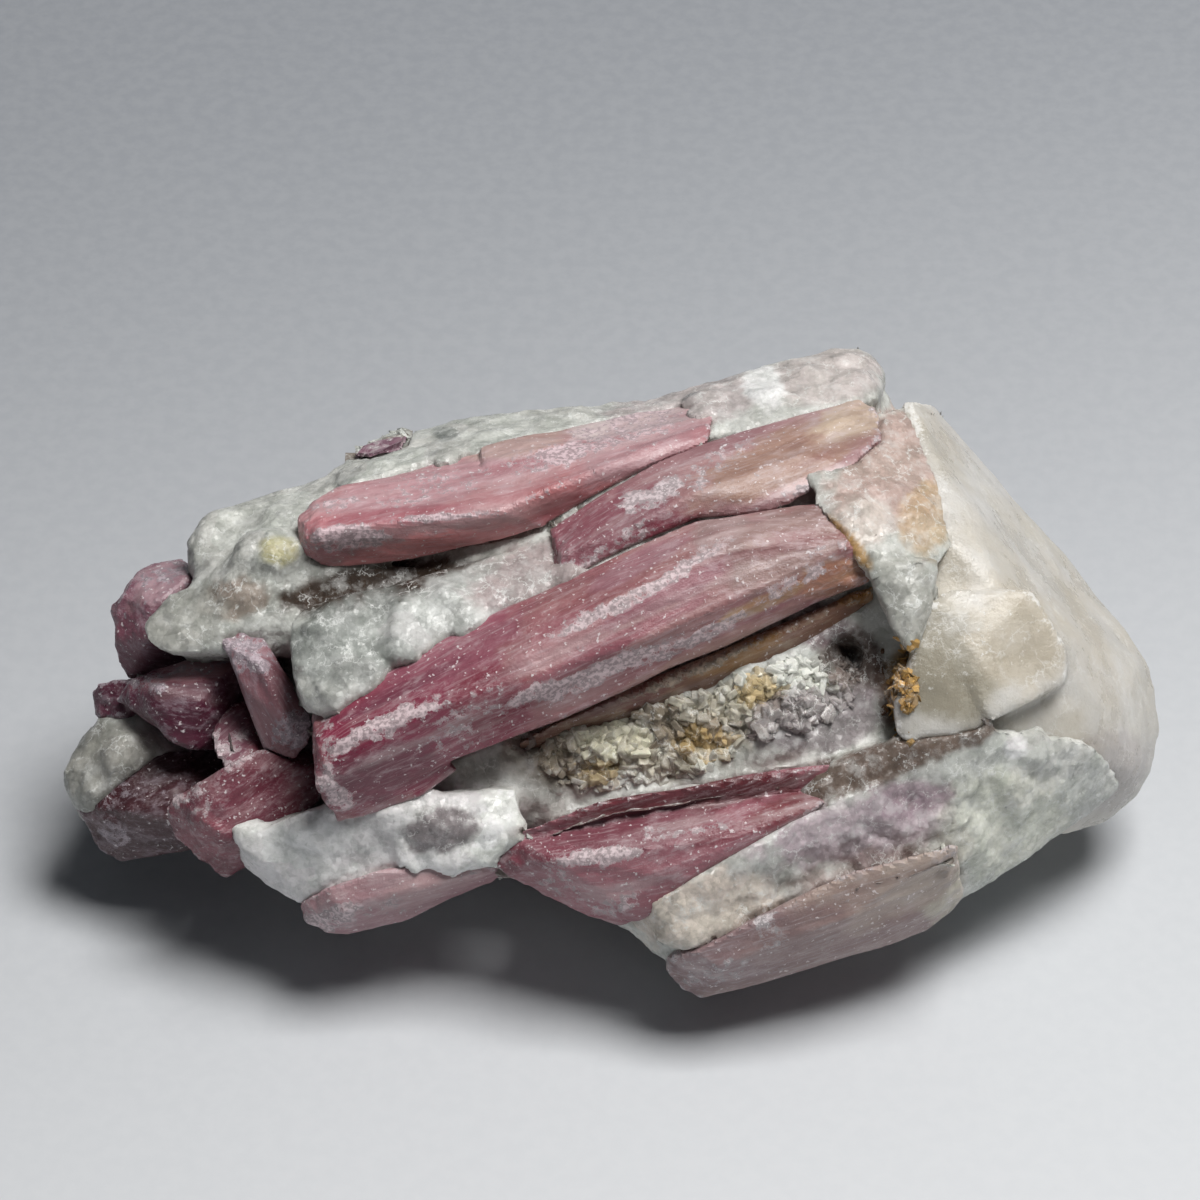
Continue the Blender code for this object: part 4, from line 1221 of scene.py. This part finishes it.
block_grain = cleaved_grain("block_grain", (1.0, 0.72, 0.6), 0.05, ((0.28, 0.1, 0.1), (0.7, 0.5, 0.5)))
blade_grain = cleaved_grain("blade_grain", (0.34, 0.85, 1.5), 0.04, ((0.0, 0.1, 0.5), (0.3, 0.5, 0.8)))
flake_grain = cleaved_grain("flake_grain", (1.3, 1.1, 0.13), 0.03, ((0.4, 0.2, 0.0), (0.8, 0.6, 0.2)))


# %% Strewn copies
def strewn(name, shapes, spots, normals, sizes, colours, lean, seed):
    """Copies of small shapes at spots on the stone, each leaning its own way, as one mesh."""
    dice = np.random.default_rng(seed)
    corners, faces, paints, start = [], [], [], 0
    for spot, normal, size, colour in zip(spots, normals, sizes, colours):
        shape, shape_faces = shapes[dice.integers(len(shapes))]
        up = normal + lean * dice.normal(size=3)
        up /= np.linalg.norm(up)
        side = np.cross(up, dice.normal(size=3))
        side /= np.linalg.norm(side)
        turned = shape * size @ np.stack([side, np.cross(up, side), up])
        corners.append(turned + spot)
        faces += [tuple(start + index for index in face) for face in shape_faces]
        paints.append(np.tile(colour, (len(shape), 1)))
        start += len(shape)
    mesh = bpy.data.meshes.new(name)
    corners = np.concatenate(corners)
    corners[:, 2] = np.maximum(corners[:, 2], 0.0)
    mesh.from_pydata((corners * MM).tolist(), [], faces)
    piece = bpy.data.objects.new(name, mesh)
    bpy.context.collection.objects.link(piece)
    note(piece, "paint", np.clip(np.concatenate(paints), 0.0, 1.0))
    print(name, len(spots), "grains")
    return piece


# %% Grains on the feldspar
GRAIN_COUNT = 1500
GRAIN_SINKING = 0.18
LAST_READING = 1140

dice = np.random.default_rng(61)
across, down, _ = readings(points)
wanted = np.clip(relief - 0.5, 0.0, 1.0) * (1.0 - covered)
wanted *= (0.2 + eased(normals @ OUT_OF_FACE, -0.2, 0.3)) * (across < LAST_READING)
chosen = dice.choice(len(points), GRAIN_COUNT, replace=False, p=wanted / wanted.sum())
sizes = dice.uniform(0.35, 1.1, GRAIN_COUNT) * (0.45 + 0.95 * relief[chosen])
tones = dice.uniform(0.7, 1.2, (GRAIN_COUNT, 1)) * np.array((1.0, 1.0, 0.98))
spots = points[chosen] - normals[chosen] * sizes[:, None] * GRAIN_SINKING
grain_piece = strewn("feldspar_grains", [block_grain, blade_grain, block_grain], spots, normals[chosen],
                     sizes, body[chosen] * tones + 0.04, lean=0.55, seed=62)
hand_over(grain_piece, feldspar, "feldspar_rock")

# %% [markdown]
# ## The golden crust
# Beside the quartz, iron has left a small crust of golden-brown grains, darker at its left edge.
# It uses the same cleaved grains, crowded round one spot, and each grain has its own gold.

# %% Golden crust
CRUST_COUNT = 160
CRUST_SPOT = (903, 690, 17.0, 34.0, 0.0)
DARK_SIDE = 892.0
GOLD = (204, 164, 98)
DARK_IRON = (96, 62, 34)

gap = away_from(across, down, CRUST_SPOT)
golden = np.exp(-gap ** 2) * (gap < 1.7) * eased(normals @ OUT_OF_FACE, -0.2, 0.3)
chosen = dice.choice(len(points), CRUST_COUNT, replace=True, p=golden / golden.sum())
left = eased(DARK_SIDE - across[chosen], -6.0, 8.0)[:, None]
golds = linear(GOLD) * dice.uniform(0.6, 1.5, (CRUST_COUNT, 1)) * (1.0 - left)
golds += linear(DARK_IRON) * left
sizes = dice.uniform(0.35, 0.8, CRUST_COUNT)
spots = points[chosen] + dice.normal(size=(CRUST_COUNT, 3)) * 0.15
crust = strewn("golden_crust", [block_grain, flake_grain], spots, normals[chosen], sizes, golds,
               lean=0.8, seed=63)
hand_over(crust, feldspar, "feldspar_rock")
